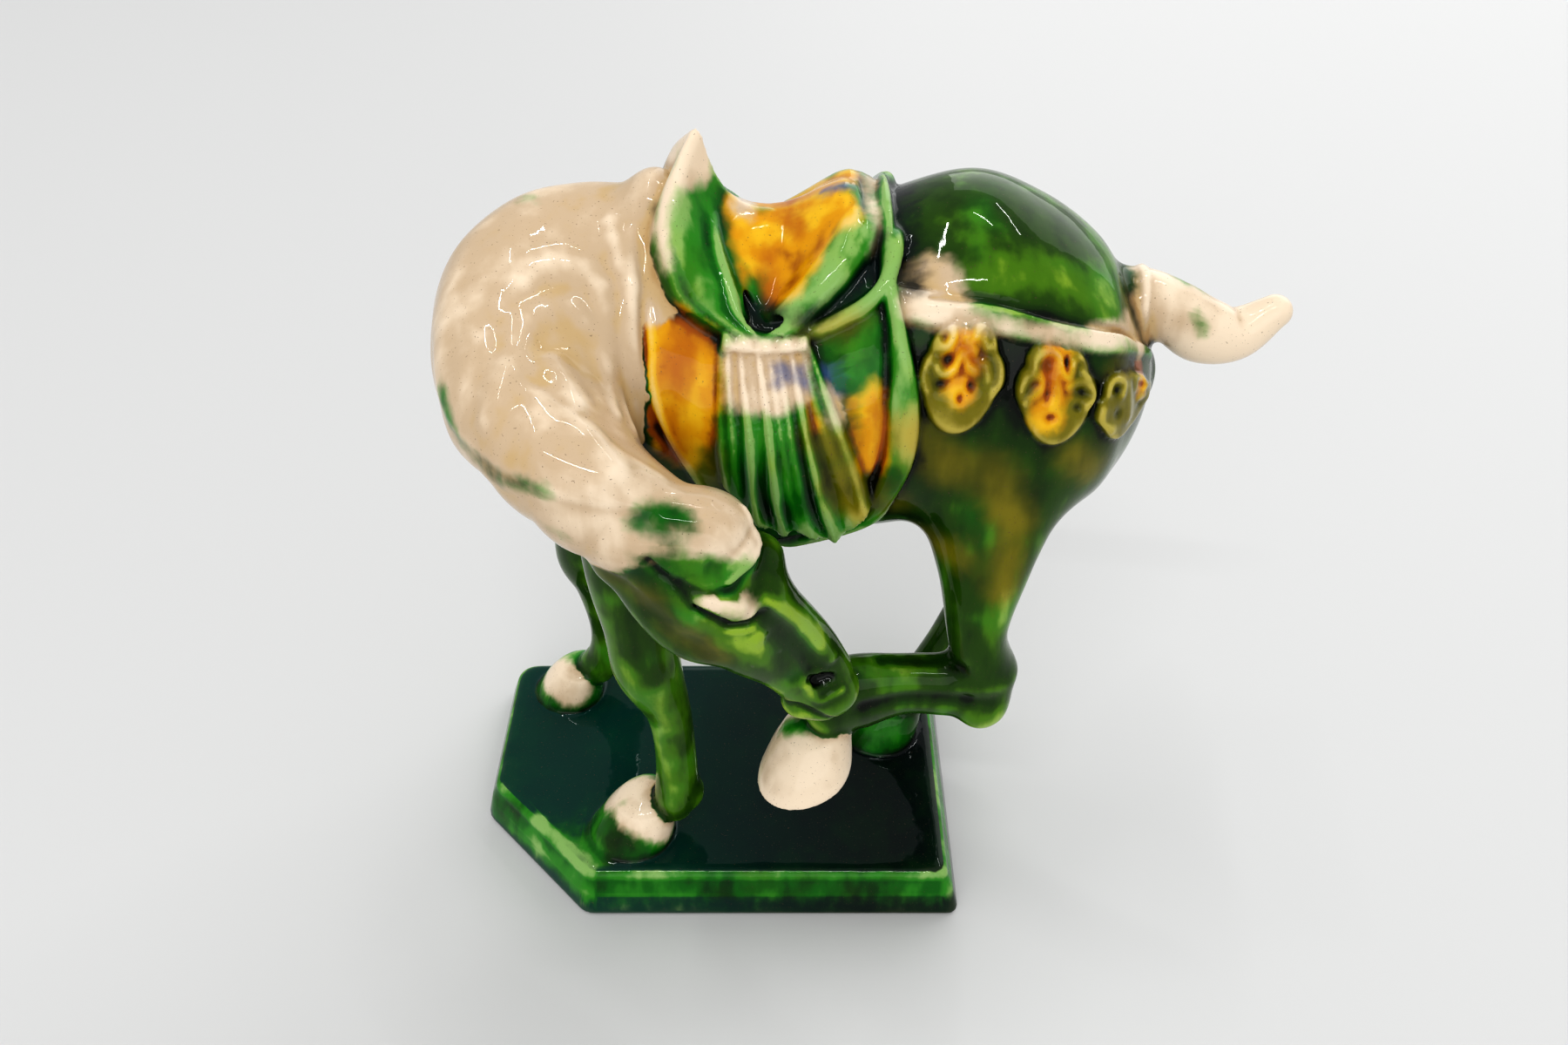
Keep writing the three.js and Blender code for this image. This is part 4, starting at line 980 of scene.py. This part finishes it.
HARNESS_CREAM = [
    ((2.5, -1, 197), (3, -3, 193), 4.2), ((1.5, -4, 194.5), (0.5, -7, 192.5), 3),
    ((-2, -8.5, 191), (-3.5, -12, 186), 1.7), ((-3.5, -12.5, 185), (-2.5, -16.5, 179.5), 1.5),
    ((-10, -2, 187.5), (-5, -3, 190), 5), ((-7.5, -19, 172.5), (-6, -20, 171), 2),
    ((-9.5, -5, 187), (-7, -10, 184), 3),
    ((34.5, 1, 185), (35.5, -8, 184.5), 0.9),
    ((35.5, -8, 184.5), (34.5, -14, 181), 0.7), ((8, 13.5, 179.5), (11, -2, 183), 2.4),
    ((9.5, -25.5, 168), (22.5, -26.5, 169), 1.5), ((10.5, -26, 166), (10.5, -29.5, 160.5), 3),
    ((14, -26.5, 166), (13.5, -30, 160.5), 3.4), ((17, -26.5, 166), (17, -30.5, 160.5), 3.4),
    ((20, -26.5, 166.5), (20.5, -30, 161.5), 3), ((26.5, -29, 161), (28.5, -31.5, 157), 1.6),
    ((45, -18, 178.5), (44, -22, 176), 4.6), ((47.5, -20, 177), (49, -23.5, 175.5), 3.4),
    ((42, -23, 175), (49, -24.5, 173.5), 2.6), ((49.5, -24.5, 174), (57.5, -25.5, 172.5), 1.4),
    ((57.5, -25.5, 172.5), (65.5, -25.5, 171), 1.3), ((65.5, -25.5, 171), (76, -23, 168), 1.6),
    ((76, -22.5, 168.5), (85.5, -13.5, 163), 2.6), ((84, -13.5, 165.5), (87.5, -13.5, 160.5), 2.4),
    ((88, -7, 166.5), (90, -7.5, 160), 2),
]
HARNESS_AMBER = [
    ((-6.5, -21.5, 168), (-6.5, -27, 153), 1.8), ((-5.5, -20.5, 170), (-3.5, -29.5, 151), 3.6),
    ((-1.5, -21.5, 168.5), (1, -29.5, 153), 5), ((4, -21.5, 168.5), (4.5, -28.5, 158), 2.6),
    ((-6, -27, 154), (-1, -30, 146), 3.4), ((10.5, -2, 183), (13, -11, 176.5), 3.4),
    ((15.5, -5, 181), (16, -14, 174), 4.6), ((20.5, -2.5, 182.5), (19.5, -15.5, 174.5), 4.6),
    ((26.5, -3.5, 185.5), (23, -12.5, 178.5), 4.4), ((29.5, -4, 186.5), (30, -9, 185), 2.6),
    ((8.5, -26, 165), (7.5, -29, 159.5), 1.1), ((34, -30, 160.5), (35.5, -32.5, 147.5), 3),
    ((23.5, -31, 159.5), (24.5, -32.5, 155.5), 0.7),
    ((50.5, -27, 171), (50.5, -30, 162), 3), ((68, -26.5, 169), (67, -32, 157), 3.2),
    ((88, -13, 159.5), (88, -17.5, 154.5), 2.6),
]
HARNESS_RUST = [
    ((1, -22, 168), (-1, -26, 162.5), 3), ((-1, -26, 162.5), (-1.5, -30, 146), 1.5),
    ((15.5, -9.5, 177.5), (16.5, -17, 172), 1.7), ((35, -30.5, 160), (36.5, -32, 148.5), 1.3),
    ((66.5, -27.5, 168.5), (67.5, -30, 162.5), 1.5), ((51, -28.5, 170), (53.5, -29.5, 166), 1.2),
    ((21, -6, 181.5), (19.5, -2, 182.5), 2.2),
]
HARNESS_BLUE = [
    ((27.5, -27.5, 164.5), (29.5, -29, 162.5), 1.8), ((18.5, -27.5, 165), (19.5, -28.5, 163.5), 1),
    ((17.5, -27.5, 164.5), (17.5, -29, 162.5), 0.7), ((21.5, -27.5, 164.5), (22.5, -29, 162.5), 0.7),
    ((27, 0, 186), (29.5, 0.5, 187), 1.8),
]
HARNESS_OLIVE = [
    ((25, -33, 154), (33.5, -34.5, 142.5), 2.6), ((28.5, -34.5, 145.5), (33, -35, 136), 3.2),
    ((30.5, -32, 153), (35.5, -32, 142), 2.4), ((2.5, -30, 151.5), (4, -30.5, 143.5), 3),
    ((-7.5, -28, 150), (-4.5, -28, 145.5), 2), ((31, -32.5, 152.5), (34, -34, 142), 2.6),
    ((1, -29.5, 151.5), (4.5, -30.5, 141), 2.6), ((22.5, -23.5, 170), (32, -23, 172.5), 1.3),
]
SEAT_POCKET = [
    ((13.5, -14, 174.5), (14, -16.5, 172), 2.2), ((12.5, -16.5, 171), (22.5, -23, 172.5), 1.7),
]
# Near-black painted shade in the gaps between the saddle's rear leaf and its pad rim, in the pocket above
# the band, and in the hollow behind the pad rim
PAINTED_SHADE_IN_GAPS = [
    ((36.5, -11.5, 182.5), (35, -15.5, 178.5), 1.4), ((35, -15.5, 178.5), (31, -19, 175), 2),
    ((31, -19, 175), (23.5, -22.5, 172.5), 1.6), ((14, -17, 171.5), (22.5, -23, 172), 1.6),
    ((41, -2, 184), (42, -19, 176.5), 2.6),
    ((41.5, -2, 181), (43, -17, 177), 2.4),
]
THIN_GLAZE = [
    ((24, -42, 66), (29, -40, 74), 8),
    ((3, -5.5, 189.5), (1.5, -12.5, 185), 5), ((-1, -13.5, 185), (1.5, -18.5, 177.5), 4),
    ((3.5, -11.5, 183), (7, -18, 176), 2.6), ((26.5, -23.5, 169), (30.5, -27, 165.5), 3.4),
    ((-6.5, -20.5, 168.5), (-5, -28, 156), 2.4), ((2, -26, 162.5), (3.5, -29, 156.5), 2.4),
    ((9, -19.5, 174.5), (10, -20.5, 173), 1.6), ((31, -12, 184.5), (25.5, -17.5, 179), 3),
    ((23.5, -19.5, 176.5), (30.5, -18, 177.5), 1.6), ((51, -19.5, 178.5), (63, -18.5, 178.5), 3.4),
    ((63, -18.5, 178.5), (77, -15.5, 171.5), 3.4), ((50, -22.5, 175.5), (62.5, -22.5, 174), 1.8),
    ((70.5, -19.5, 174), (78.5, -18.5, 168.5), 2.2), ((38, -14.5, 183), (39, -20, 177.5), 2),
    ((41, -34.5, 150.5), (42.5, -32, 159), 1.6), ((2, -30, 142), (8, -32.5, 141), 2),
    ((12.5, -31.5, 157.5), (12.5, -34.5, 146.5), 2.4),
    ((16.5, -31.5, 158.5), (18.5, -34.5, 142.5), 2.4), ((25.5, -21, 174.5), (33, -23, 173), 1.6),
    ((29, -33.5, 136.5), (31.5, -34, 134), 3), ((-16.5, -29.5, 85), (-15, -30, 79.5), 1),
    ((-11, -29.5, 76), (-9, -27, 60.5), 0.6), ((-10.5, -26.5, 53), (-9.5, -27.5, 36.5), 0.2),
    ((18.5, -55, 129.5), (24.5, -50.5, 117.5), 1.6), ((1, -59, 145), (11, -56.5, 143), 3.6),
    ((3.5, -59.5, 142), (11, -57, 140.5), 3.4), ((3, -60.5, 133), (10.5, -59, 125.5), 2.4),
    ((0, -60, 138), (3, -60.5, 133), 3), ((6.5, -59.5, 127), (12, -59, 125), 3),
    ((58.5, -39.5, 95), (62, -41, 92), 0.5),
]
FLANK_OLIVE = [
    ((42, -33.5, 154.5), (50, -31.5, 144.5), 4.5), ((57.5, -32, 145), (64, -33, 132.5), 4),
    ((63.5, -35.5, 125.5), (62.5, -37.5, 118), 3), ((35.5, -32.5, 140.5), (41, -28.5, 133), 2.4),
    ((73, -30, 147.5), (79, -27.5, 141), 3), ((82, -23, 160.5), (86, -22, 149.5), 3),
    ((47, -26, 123.5), (53.5, -34, 124), 2.6),
    ((-20, -54, 142), (-6, -61, 137), 2.5), ((-3, -62, 131), (6, -60, 122), 2.2),
]
HOOF_CREAM = [
    ((-25.5, -20, 24.5), (-19, -19, 27.5), 4.2), ((-19, -19, 27.5), (-17, -27, 26), 4.2),
    ((-21.5, -26.5, 26), (-12, -28, 20.5), 4.2), ((-48, 23.5, 23), (-42.5, 19, 22.5), 6),
]
HOOF_GREEN = [
    ((-24, -31.5, 17), (-14.5, -30.5, 16), 2.6), ((19, -38, 75.5), (23.5, -39.5, 78), 2.2),
    ((23.5, -39.5, 78), (31.5, -42, 83.5), 1.6),
]
PAD_CREAM = [
    ((6, -60, 137.5), (10, -59, 136.5), 2.6), ((10, -59, 136.5), (12.5, -58.5, 134), 1.8),
]
# Paler green on the plinth along its cut face and top edges; the spot on its top in front of the far foreleg
# is a painted reflection of that leg
PLINTH_PALE_GREEN_AND_PAINTED_REFLECTION = [
    ((-60, -12, 5.5), (-47, -24.5, 7), 0.6), ((-47, -24.5, 7), (-31.5, -38, 7.5), 1),
    ((-44.5, -19.5, 14), (-29, -31.5, 14), 4), ((-40, -9.5, 14), (-54.5, -2.5, 14), 2),
    ((-26.5, 8.5, 14), (-25.5, 9.5, 14), 3.4),
]


def near_side(points):
    """Places on both sides of the trunk, folded onto the viewer's side."""
    folded = points.copy()
    folded[:, 1] = -np.abs(folded[:, 1])
    return folded


def on_parts(label, parts, field):
    return np.where(np.isin(label, parts), field, NOWHERE)


def round_the_neck(points):
    """How far along the neck each point is, 0 to 1, and its degrees round it, 90 at the crest."""
    shares = np.linspace(0, 1, 120)
    at, _, up, side, half, top, _ = sections(with_crest(NECK_PATH, UP), shares)
    near = ((points[:, None, :] - at[None]) ** 2).sum(-1).argmin(1)
    away = points - at[near]
    rise, across = (away * up[near]).sum(1), (away * side[near]).sum(1)
    degrees = np.degrees(np.arctan2(rise / top[near], across / half[near]))
    return shares[near], np.where(degrees < -90, degrees + 360, degrees)


def neck_cream(points, label):
    x, y, z = points.T
    share, degrees = round_the_neck(points)
    # Down to a line on each side of the throat, and to the chest's height below the mane
    reach = np.minimum(degrees + 50, 236 - degrees) * 0.3
    reach = np.minimum(reach, (z - 147.5) * 0.9 + np.maximum(0, 0.86 - share) * 90)
    far_shoulder = (label == BODY) & (y > 0) & (x < -6)
    neck = np.where((label == NECK) | far_shoulder, reach, NOWHERE)
    neck = np.minimum(neck, -streaks(points, NECK_GREEN))
    # Forelock, down to a brow line that sinks towards the nose
    crown = on_parts(label, (FORELOCK, HEAD, NECK), z - (147.8 - 0.024 * np.maximum(x, 0) ** 2))
    crown = np.where(x > -16, crown, NOWHERE)
    neck = np.minimum(np.maximum(neck, crown), -streaks(points, FORELOCK_GREEN))
    return np.maximum(neck, on_parts(label, HEAD, streaks(points, PAD_CREAM)))


def tail_cream(points, label):
    tail = on_parts(label, TAIL, points[:, 0] - 90.3 + 0.42 * (points[:, 2] - 161))
    return np.minimum(tail, -streaks(points, TAIL_GREEN))


def hoof_cream(points, label):
    # The raised hoof is cream all over, the standing ones in their marks
    raised = np.where(points[:, 2] > 58, 2.4, NOWHERE)
    cream = on_parts(label, HOOF, np.maximum(raised, streaks(points, HOOF_CREAM)))
    return np.minimum(cream, -streaks(points, HOOF_GREEN))


def plinth_dark(points):
    """The plinth's top, and the foot of its sides."""
    foot = 5 - 0.9 * points[:, 2] + 0.02 * (points[:, 0] - 20)
    return np.where(points[:, 2] > PLINTH_HEIGHT - 0.7, 4.0, foot)


def glaze_fields(clay, points):
    label = clay.labels_at(points)
    fold = near_side(points)

    def harness(marks):
        return on_parts(label, DRESSED, streaks(fold, marks))

    pocket = streaks(fold, SEAT_POCKET)
    dress = on_parts(label, DRESSED + (NECK,), streaks(fold, HARNESS_CREAM))
    bare_foot = on_parts(label, PLINTH, 0.9 - points[:, 2])
    cream = np.maximum.reduce([
        neck_cream(points, label), tail_cream(points, label), hoof_cream(points, label),
        bare_foot, np.minimum(dress, -pocket),
    ])
    amber = np.minimum(harness(HARNESS_AMBER), -pocket)
    amber = np.where(np.isin(label, (STRAP, RIM)), NOWHERE, amber)
    olive = np.maximum(streaks(points, FLANK_OLIVE), harness(HARNESS_OLIVE))
    olive = np.where(label == MEDALLION, 3, olive)
    # Cream glaze is thin on small forms, so the clay's ridges show; the plinth's pale marks include a
    # painted reflection on its top
    thin = np.maximum(streaks(points, THIN_GLAZE), streaks(points, PLINTH_PALE_GREEN_AND_PAINTED_REFLECTION))
    thin = np.maximum(thin, on_parts(label, (HOOF, TAIL, STRAP, SKIRT, SADDLE, RIM), cream))
    # Near black on the plinth, and near-black painted shade in the harness's gaps
    dark = np.where(label == PLINTH, plinth_dark(points), harness(PAINTED_SHADE_IN_GAPS))
    return {
        "cream": cream,
        "amber": amber,
        "rust": harness(HARNESS_RUST),
        "blue": harness(HARNESS_BLUE),
        "olive": olive,
        "thin": thin,
        "dark": np.minimum(dark, -streaks(points, PLINTH_PALE_GREEN_AND_PAINTED_REFLECTION)),
        "moss": np.where(np.isin(label, (BODY, LEG, HEAD)), 4.0, -3.0),
    }


# Mesh

def put_in_scene(name, data):
    made = bpy.data.objects.new(name, data)
    bpy.context.scene.collection.objects.link(made)
    return made


def build_mesh(clay):
    points, quads = clay.surface()
    corner = points[quads[:, :3]]
    volume = (corner[:, 0] * np.cross(corner[:, 1], corner[:, 2])).sum()
    if volume < 0:
        quads = quads[:, ::-1]
    mesh = bpy.data.meshes.new("tomb_horse_glazed")
    mesh.from_pydata((points * MM).tolist(), [], quads.tolist())
    piece = put_in_scene("tomb_horse_glazed", mesh)
    smooth = piece.modifiers.new("even", "SMOOTH")
    smooth.factor = 0.5
    smooth.iterations = 2
    fewer = piece.modifiers.new("fewer", "DECIMATE")
    fewer.ratio = min(1.0, MOST_TRIANGLES / (2 * len(quads)))
    fewer.use_collapse_triangulate = True
    apply_modifiers(piece)
    faces = piece.data.polygons
    faces.foreach_set("use_smooth", np.ones(len(faces), bool))
    return piece


def apply_modifiers(piece):
    graph = bpy.context.evaluated_depsgraph_get()
    made = bpy.data.meshes.new_from_object(piece.evaluated_get(graph))
    piece.modifiers.clear()
    piece.data = made


def spread(values, edges, rounds):
    """Values averaged over their neighbours along the mesh's edges."""
    count = np.bincount(edges.ravel(), minlength=len(values))
    for _ in range(rounds):
        total = np.bincount(edges[:, 0], values[edges[:, 1]], len(values))
        total += np.bincount(edges[:, 1], values[edges[:, 0]], len(values))
        values = 0.5 * values + 0.5 * total / np.maximum(count, 1)
    return values


def paint(piece, clay):
    mesh = piece.data
    points = np.empty(len(mesh.vertices) * 3)
    mesh.vertices.foreach_get("co", points)
    points = points.reshape(-1, 3) / MM
    edges = np.empty(len(mesh.edges) * 2, int)
    mesh.edges.foreach_get("vertices", edges)
    edges = edges.reshape(-1, 2)
    fields = {name: spread(field, edges, 3) for name, field in glaze_fields(clay, points).items()}
    # How far the skin stands out of its surroundings, near it and further round it
    skin = np.clip(clay.value, -DETAIL_BAND, DETAIL_BAND)
    fine = blurred(skin, 1.1)
    flush = clay.sample(skin, points)
    fields["fine"] = clay.sample(fine, points) - flush
    fields["pool"] = clay.sample(blurred(fine, 3.0), points) - flush
    for name, field in fields.items():
        layer = mesh.attributes.new(name, "FLOAT", "POINT")
        layer.data.foreach_set("value", field.astype(np.float32))


# Material

class Nodes:
    """Short calls for the nodes of one material."""

    def __init__(self, material):
        material.use_nodes = True
        self.tree = material.node_tree
        self.tree.nodes.clear()

    def new(self, kind, inputs=None, **settings):
        node = self.tree.nodes.new(kind)
        for name, value in settings.items():
            setattr(node, name, value)
        for name, value in (inputs or {}).items():
            self.put(value, node.inputs[name])
        return node

    def put(self, value, socket):
        if isinstance(value, bpy.types.NodeSocket):
            self.tree.links.new(value, socket)
        else:
            socket.default_value = value

    def attribute(self, name):
        return self.new("ShaderNodeAttribute", attribute_name=name).outputs["Fac"]

    def math(self, operation, a, b):
        return self.new("ShaderNodeMath", {0: a, 1: b}, operation=operation).outputs[0]

    def add(self, *terms):
        total = terms[0]
        for term in terms[1:]:
            total = self.math("ADD", total, term)
        return total

    def times(self, a, b):
        return self.math("MULTIPLY", a, b)

    def ramp(self, value, low, high):
        inputs = {"Value": value, "From Min": low, "From Max": high}
        return self.new("ShaderNodeMapRange", inputs, interpolation_type="SMOOTHSTEP").outputs[0]

    def noise(self, vector, scale, detail, rough=0.5):
        inputs = {"Vector": vector, "Scale": scale, "Detail": detail, "Roughness": rough}
        return self.new("ShaderNodeTexNoise", inputs).outputs["Fac"]

    def swing(self, vector, scale, detail):
        """Noise that swings round 0."""
        return self.math("SUBTRACT", self.noise(vector, scale, detail), 0.5)

    def mix(self, share, a, b):
        node = self.new("ShaderNodeMix", data_type="RGBA")
        self.put(share, node.inputs[0])
        self.put(a, node.inputs[6])
        self.put(b, node.inputs[7])
        return node.outputs[2]

    def colours(self, value, stops):
        node = self.new("ShaderNodeValToRGB", {"Fac": value})
        ramp = node.color_ramp
        ramp.interpolation = "EASE"
        while len(ramp.elements) < len(stops):
            ramp.elements.new(0.5)
        for element, (place, colour) in zip(ramp.elements, stops):
            element.position = place
            element.color = (*colour, 1)
        return node.outputs["Color"]

    def surface(self, inputs):
        shader = self.new("ShaderNodeBsdfPrincipled", inputs)
        output = self.new("ShaderNodeOutputMaterial")
        self.put(shader.outputs[0], output.inputs["Surface"])


def glaze_material():
    material = bpy.data.materials.new("running_three_colour_glaze")
    n = Nodes(material)
    place = n.new("ShaderNodeTexCoord").outputs["Object"]
    flow = n.new("ShaderNodeMapping", {"Vector": place, "Scale": (1, 1, 0.28)}).outputs[0]
    ragged, running = n.swing(place, 230, 3), n.swing(flow, 380, 3)
    broad, sheets = n.swing(place, 60, 2), n.swing(flow, 95, 2)
    wander = n.add(n.times(ragged, 2.6), n.times(running, 1.6))

    def cover(name, soft, push=0.0):
        """1 where a glaze covers, 0 where it doesn't, with a ragged edge soft millimetres wide."""
        return n.ramp(n.add(n.attribute(name), wander, push), -soft, soft)

    # Thickness of the glaze: thin on ridges, deep where it pools; the thin cover also lightens the painted
    # reflection on the plinth's top
    deep = n.add(
        n.times(n.attribute("pool"), -0.38), n.times(n.attribute("fine"), -0.75), n.times(broad, 0.9),
        n.times(sheets, 0.7), n.times(running, 0.3), n.times(cover("thin", 4.0), -0.3), 0.5,
    )
    copper = n.colours(deep, [
        (0.0, (0.26, 0.44, 0.14)), (0.2, (0.035, 0.24, 0.018)), (0.42, (0.006, 0.125, 0.006)),
        (0.62, (0.002, 0.050, 0.005)), (0.85, (0.001, 0.010, 0.004)), (1.0, (0.001, 0.003, 0.002)),
    ])
    moss = n.colours(deep, [
        (0.0, (0.28, 0.42, 0.04)), (0.2, (0.075, 0.19, 0.006)), (0.42, (0.022, 0.068, 0.002)),
        (0.62, (0.012, 0.042, 0.002)), (0.85, (0.003, 0.010, 0.002)), (1.0, (0.001, 0.003, 0.001)),
    ])
    green = n.mix(cover("moss", 4.5, n.times(broad, 20)), copper, moss)
    olive = n.colours(deep, [
        (0.0, (0.46, 0.38, 0.08)), (0.35, (0.20, 0.17, 0.010)), (0.65, (0.10, 0.095, 0.003)),
        (1.0, (0.005, 0.006, 0.001)),
    ])
    amber = n.colours(deep, [
        (0.0, (0.78, 0.56, 0.18)), (0.3, (0.76, 0.46, 0.02)), (0.52, (0.66, 0.31, 0.004)),
        (0.75, (0.30, 0.075, 0.002)), (1.0, (0.02, 0.006, 0.001)),
    ])
    cream = n.colours(deep, [
        (0.0, (0.80, 0.67, 0.52)), (0.45, (0.565, 0.435, 0.30)), (0.7, (0.55, 0.40, 0.22)),
        (1.0, (0.44, 0.28, 0.12)),
    ])
    colour = n.mix(cover("olive", 3.5), green, olive)
    colour = n.mix(cover("amber", 1.6), colour, amber)
    colour = n.mix(n.times(cover("rust", 1.8), 0.75), colour, (0.42, 0.11, 0.004, 1))
    colour = n.mix(cover("cream", 1.5), colour, cream)
    colour = n.mix(n.times(cover("blue", 1.6), 0.85), colour, (0.05, 0.10, 0.26, 1))
    # Near black on the plinth's top and foot, and as painted shade in the harness's gaps; the blue-green
    # towards the head's end of the plinth is a painted reflection
    across = n.new("ShaderNodeSeparateXYZ", {"Vector": place}).outputs["X"]
    dark_glaze_painted_shade_and_reflection = n.mix(n.ramp(across, -0.045, 0.05), (0.002, 0.042, 0.034, 1), (0.002, 0.006, 0.008, 1))
    colour = n.mix(n.times(cover("dark", 1.6), 0.93), colour, dark_glaze_painted_shade_and_reflection)
    specks = n.ramp(n.noise(place, 2600, 1, 0.4), 0.715, 0.76)
    colour = n.mix(n.times(specks, 0.55), colour, (0.10, 0.06, 0.04, 1))
    waves, peel = n.times(n.noise(place, 130, 2), 0.0006), n.times(n.noise(place, 700, 2), 0.00003)
    bumps = n.new("ShaderNodeBump", {"Height": n.add(waves, peel), "Strength": 0.2, "Distance": 1.0})
    n.surface({
        "Base Color": colour, "Roughness": 0.4, "IOR": 1.5, "Specular IOR Level": 0.04,
        "Coat Weight": 0.8, "Coat Roughness": 0.03, "Coat IOR": 1.35,
        "Normal": bumps.outputs[0], "Coat Normal": bumps.outputs[0],
    })
    return material


# Stage, lights and camera

def plain_material(name, colour, roughness):
    material = bpy.data.materials.new(name)
    Nodes(material).surface({"Base Color": (*colour, 1), "Roughness": roughness})
    return material


def set_stage():
    size = 3.0
    mesh = bpy.data.meshes.new("pale_floor")
    corners = [(-size, -size, 0), (size, -size, 0), (size, size, 0), (-size, size, 0)]
    mesh.from_pydata(corners, [], [(0, 1, 2, 3)])
    floor = put_in_scene("pale_floor", mesh)
    mesh.materials.append(plain_material("pale_paper", (0.61, 0.61, 0.61), 0.6))


# Place, width and height in metres, and power of each light. All of them aim at the horse
LIGHTS = {
    "ceiling_tube_0": ((-0.75, 0.1, 2.6), (1.2, 0.03), 5.5),
    "ceiling_tube_1": ((0.35, 0.55, 2.6), (0.9, 0.03), 4),
    "ceiling_tube_2": ((1.5, 1.1, 2.5), (1.3, 0.03), 5.5),
    "ceiling_tube_3": ((-0.2, -1.5, 2.4), (1.4, 0.03), 10),
    "far_wall": ((1.1, 1.9, 1.15), (2.8, 1.8), 16),
    "near_wall": ((-0.3, -2.2, 0.9), (3.0, 1.4), 14),
}
HORSE_MIDDLE = Vector((0, 0, 0.1))


def set_lights():
    world = bpy.data.worlds.new("pale_room")
    world.use_nodes = True
    background = world.node_tree.nodes["Background"]
    background.inputs["Color"].default_value = (0.98, 0.985, 0.98, 1)
    background.inputs["Strength"].default_value = 0.52
    bpy.context.scene.world = world
    for name, (at, size, power) in LIGHTS.items():
        light = bpy.data.lights.new(name, "AREA")
        light.shape = "RECTANGLE"
        light.size, light.size_y = size
        light.energy = power
        lamp = put_in_scene(name, light)
        lamp.location = at
        lamp.rotation_euler = (HORSE_MIDDLE - Vector(at)).to_track_quat("-Z", "Y").to_euler()


# The photograph's viewpoint in metres, and how far it looks down in degrees
EYE = (0.01866, -0.21163, 0.29091)
LOOK_DOWN = 41.6


def set_camera():
    camera = bpy.data.cameras.new("photo_view")
    camera.lens = 28
    camera.sensor_width = 36
    eye = put_in_scene("photo_view", camera)
    eye.location = EYE
    eye.rotation_euler = (math.radians(90 - LOOK_DOWN), 0, 0)
    bpy.context.scene.camera = eye


def build_horse():
    clay = Clay()
    add_body(clay)
    add_head(clay)
    add_neck_folds(clay)
    add_leg_details(clay)
    add_harness(clay)
    add_hooves(clay)
    add_plinth(clay)
    piece = build_mesh(clay)
    paint(piece, clay)
    piece.data.materials.append(glaze_material())
    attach(piece, "root")
    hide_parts("tomb_horse")


build_horse()
set_stage()
set_lights()
set_camera()
bpy.context.scene.view_settings.view_transform = "Standard"
bpy.context.scene.view_settings.look = "High Contrast"
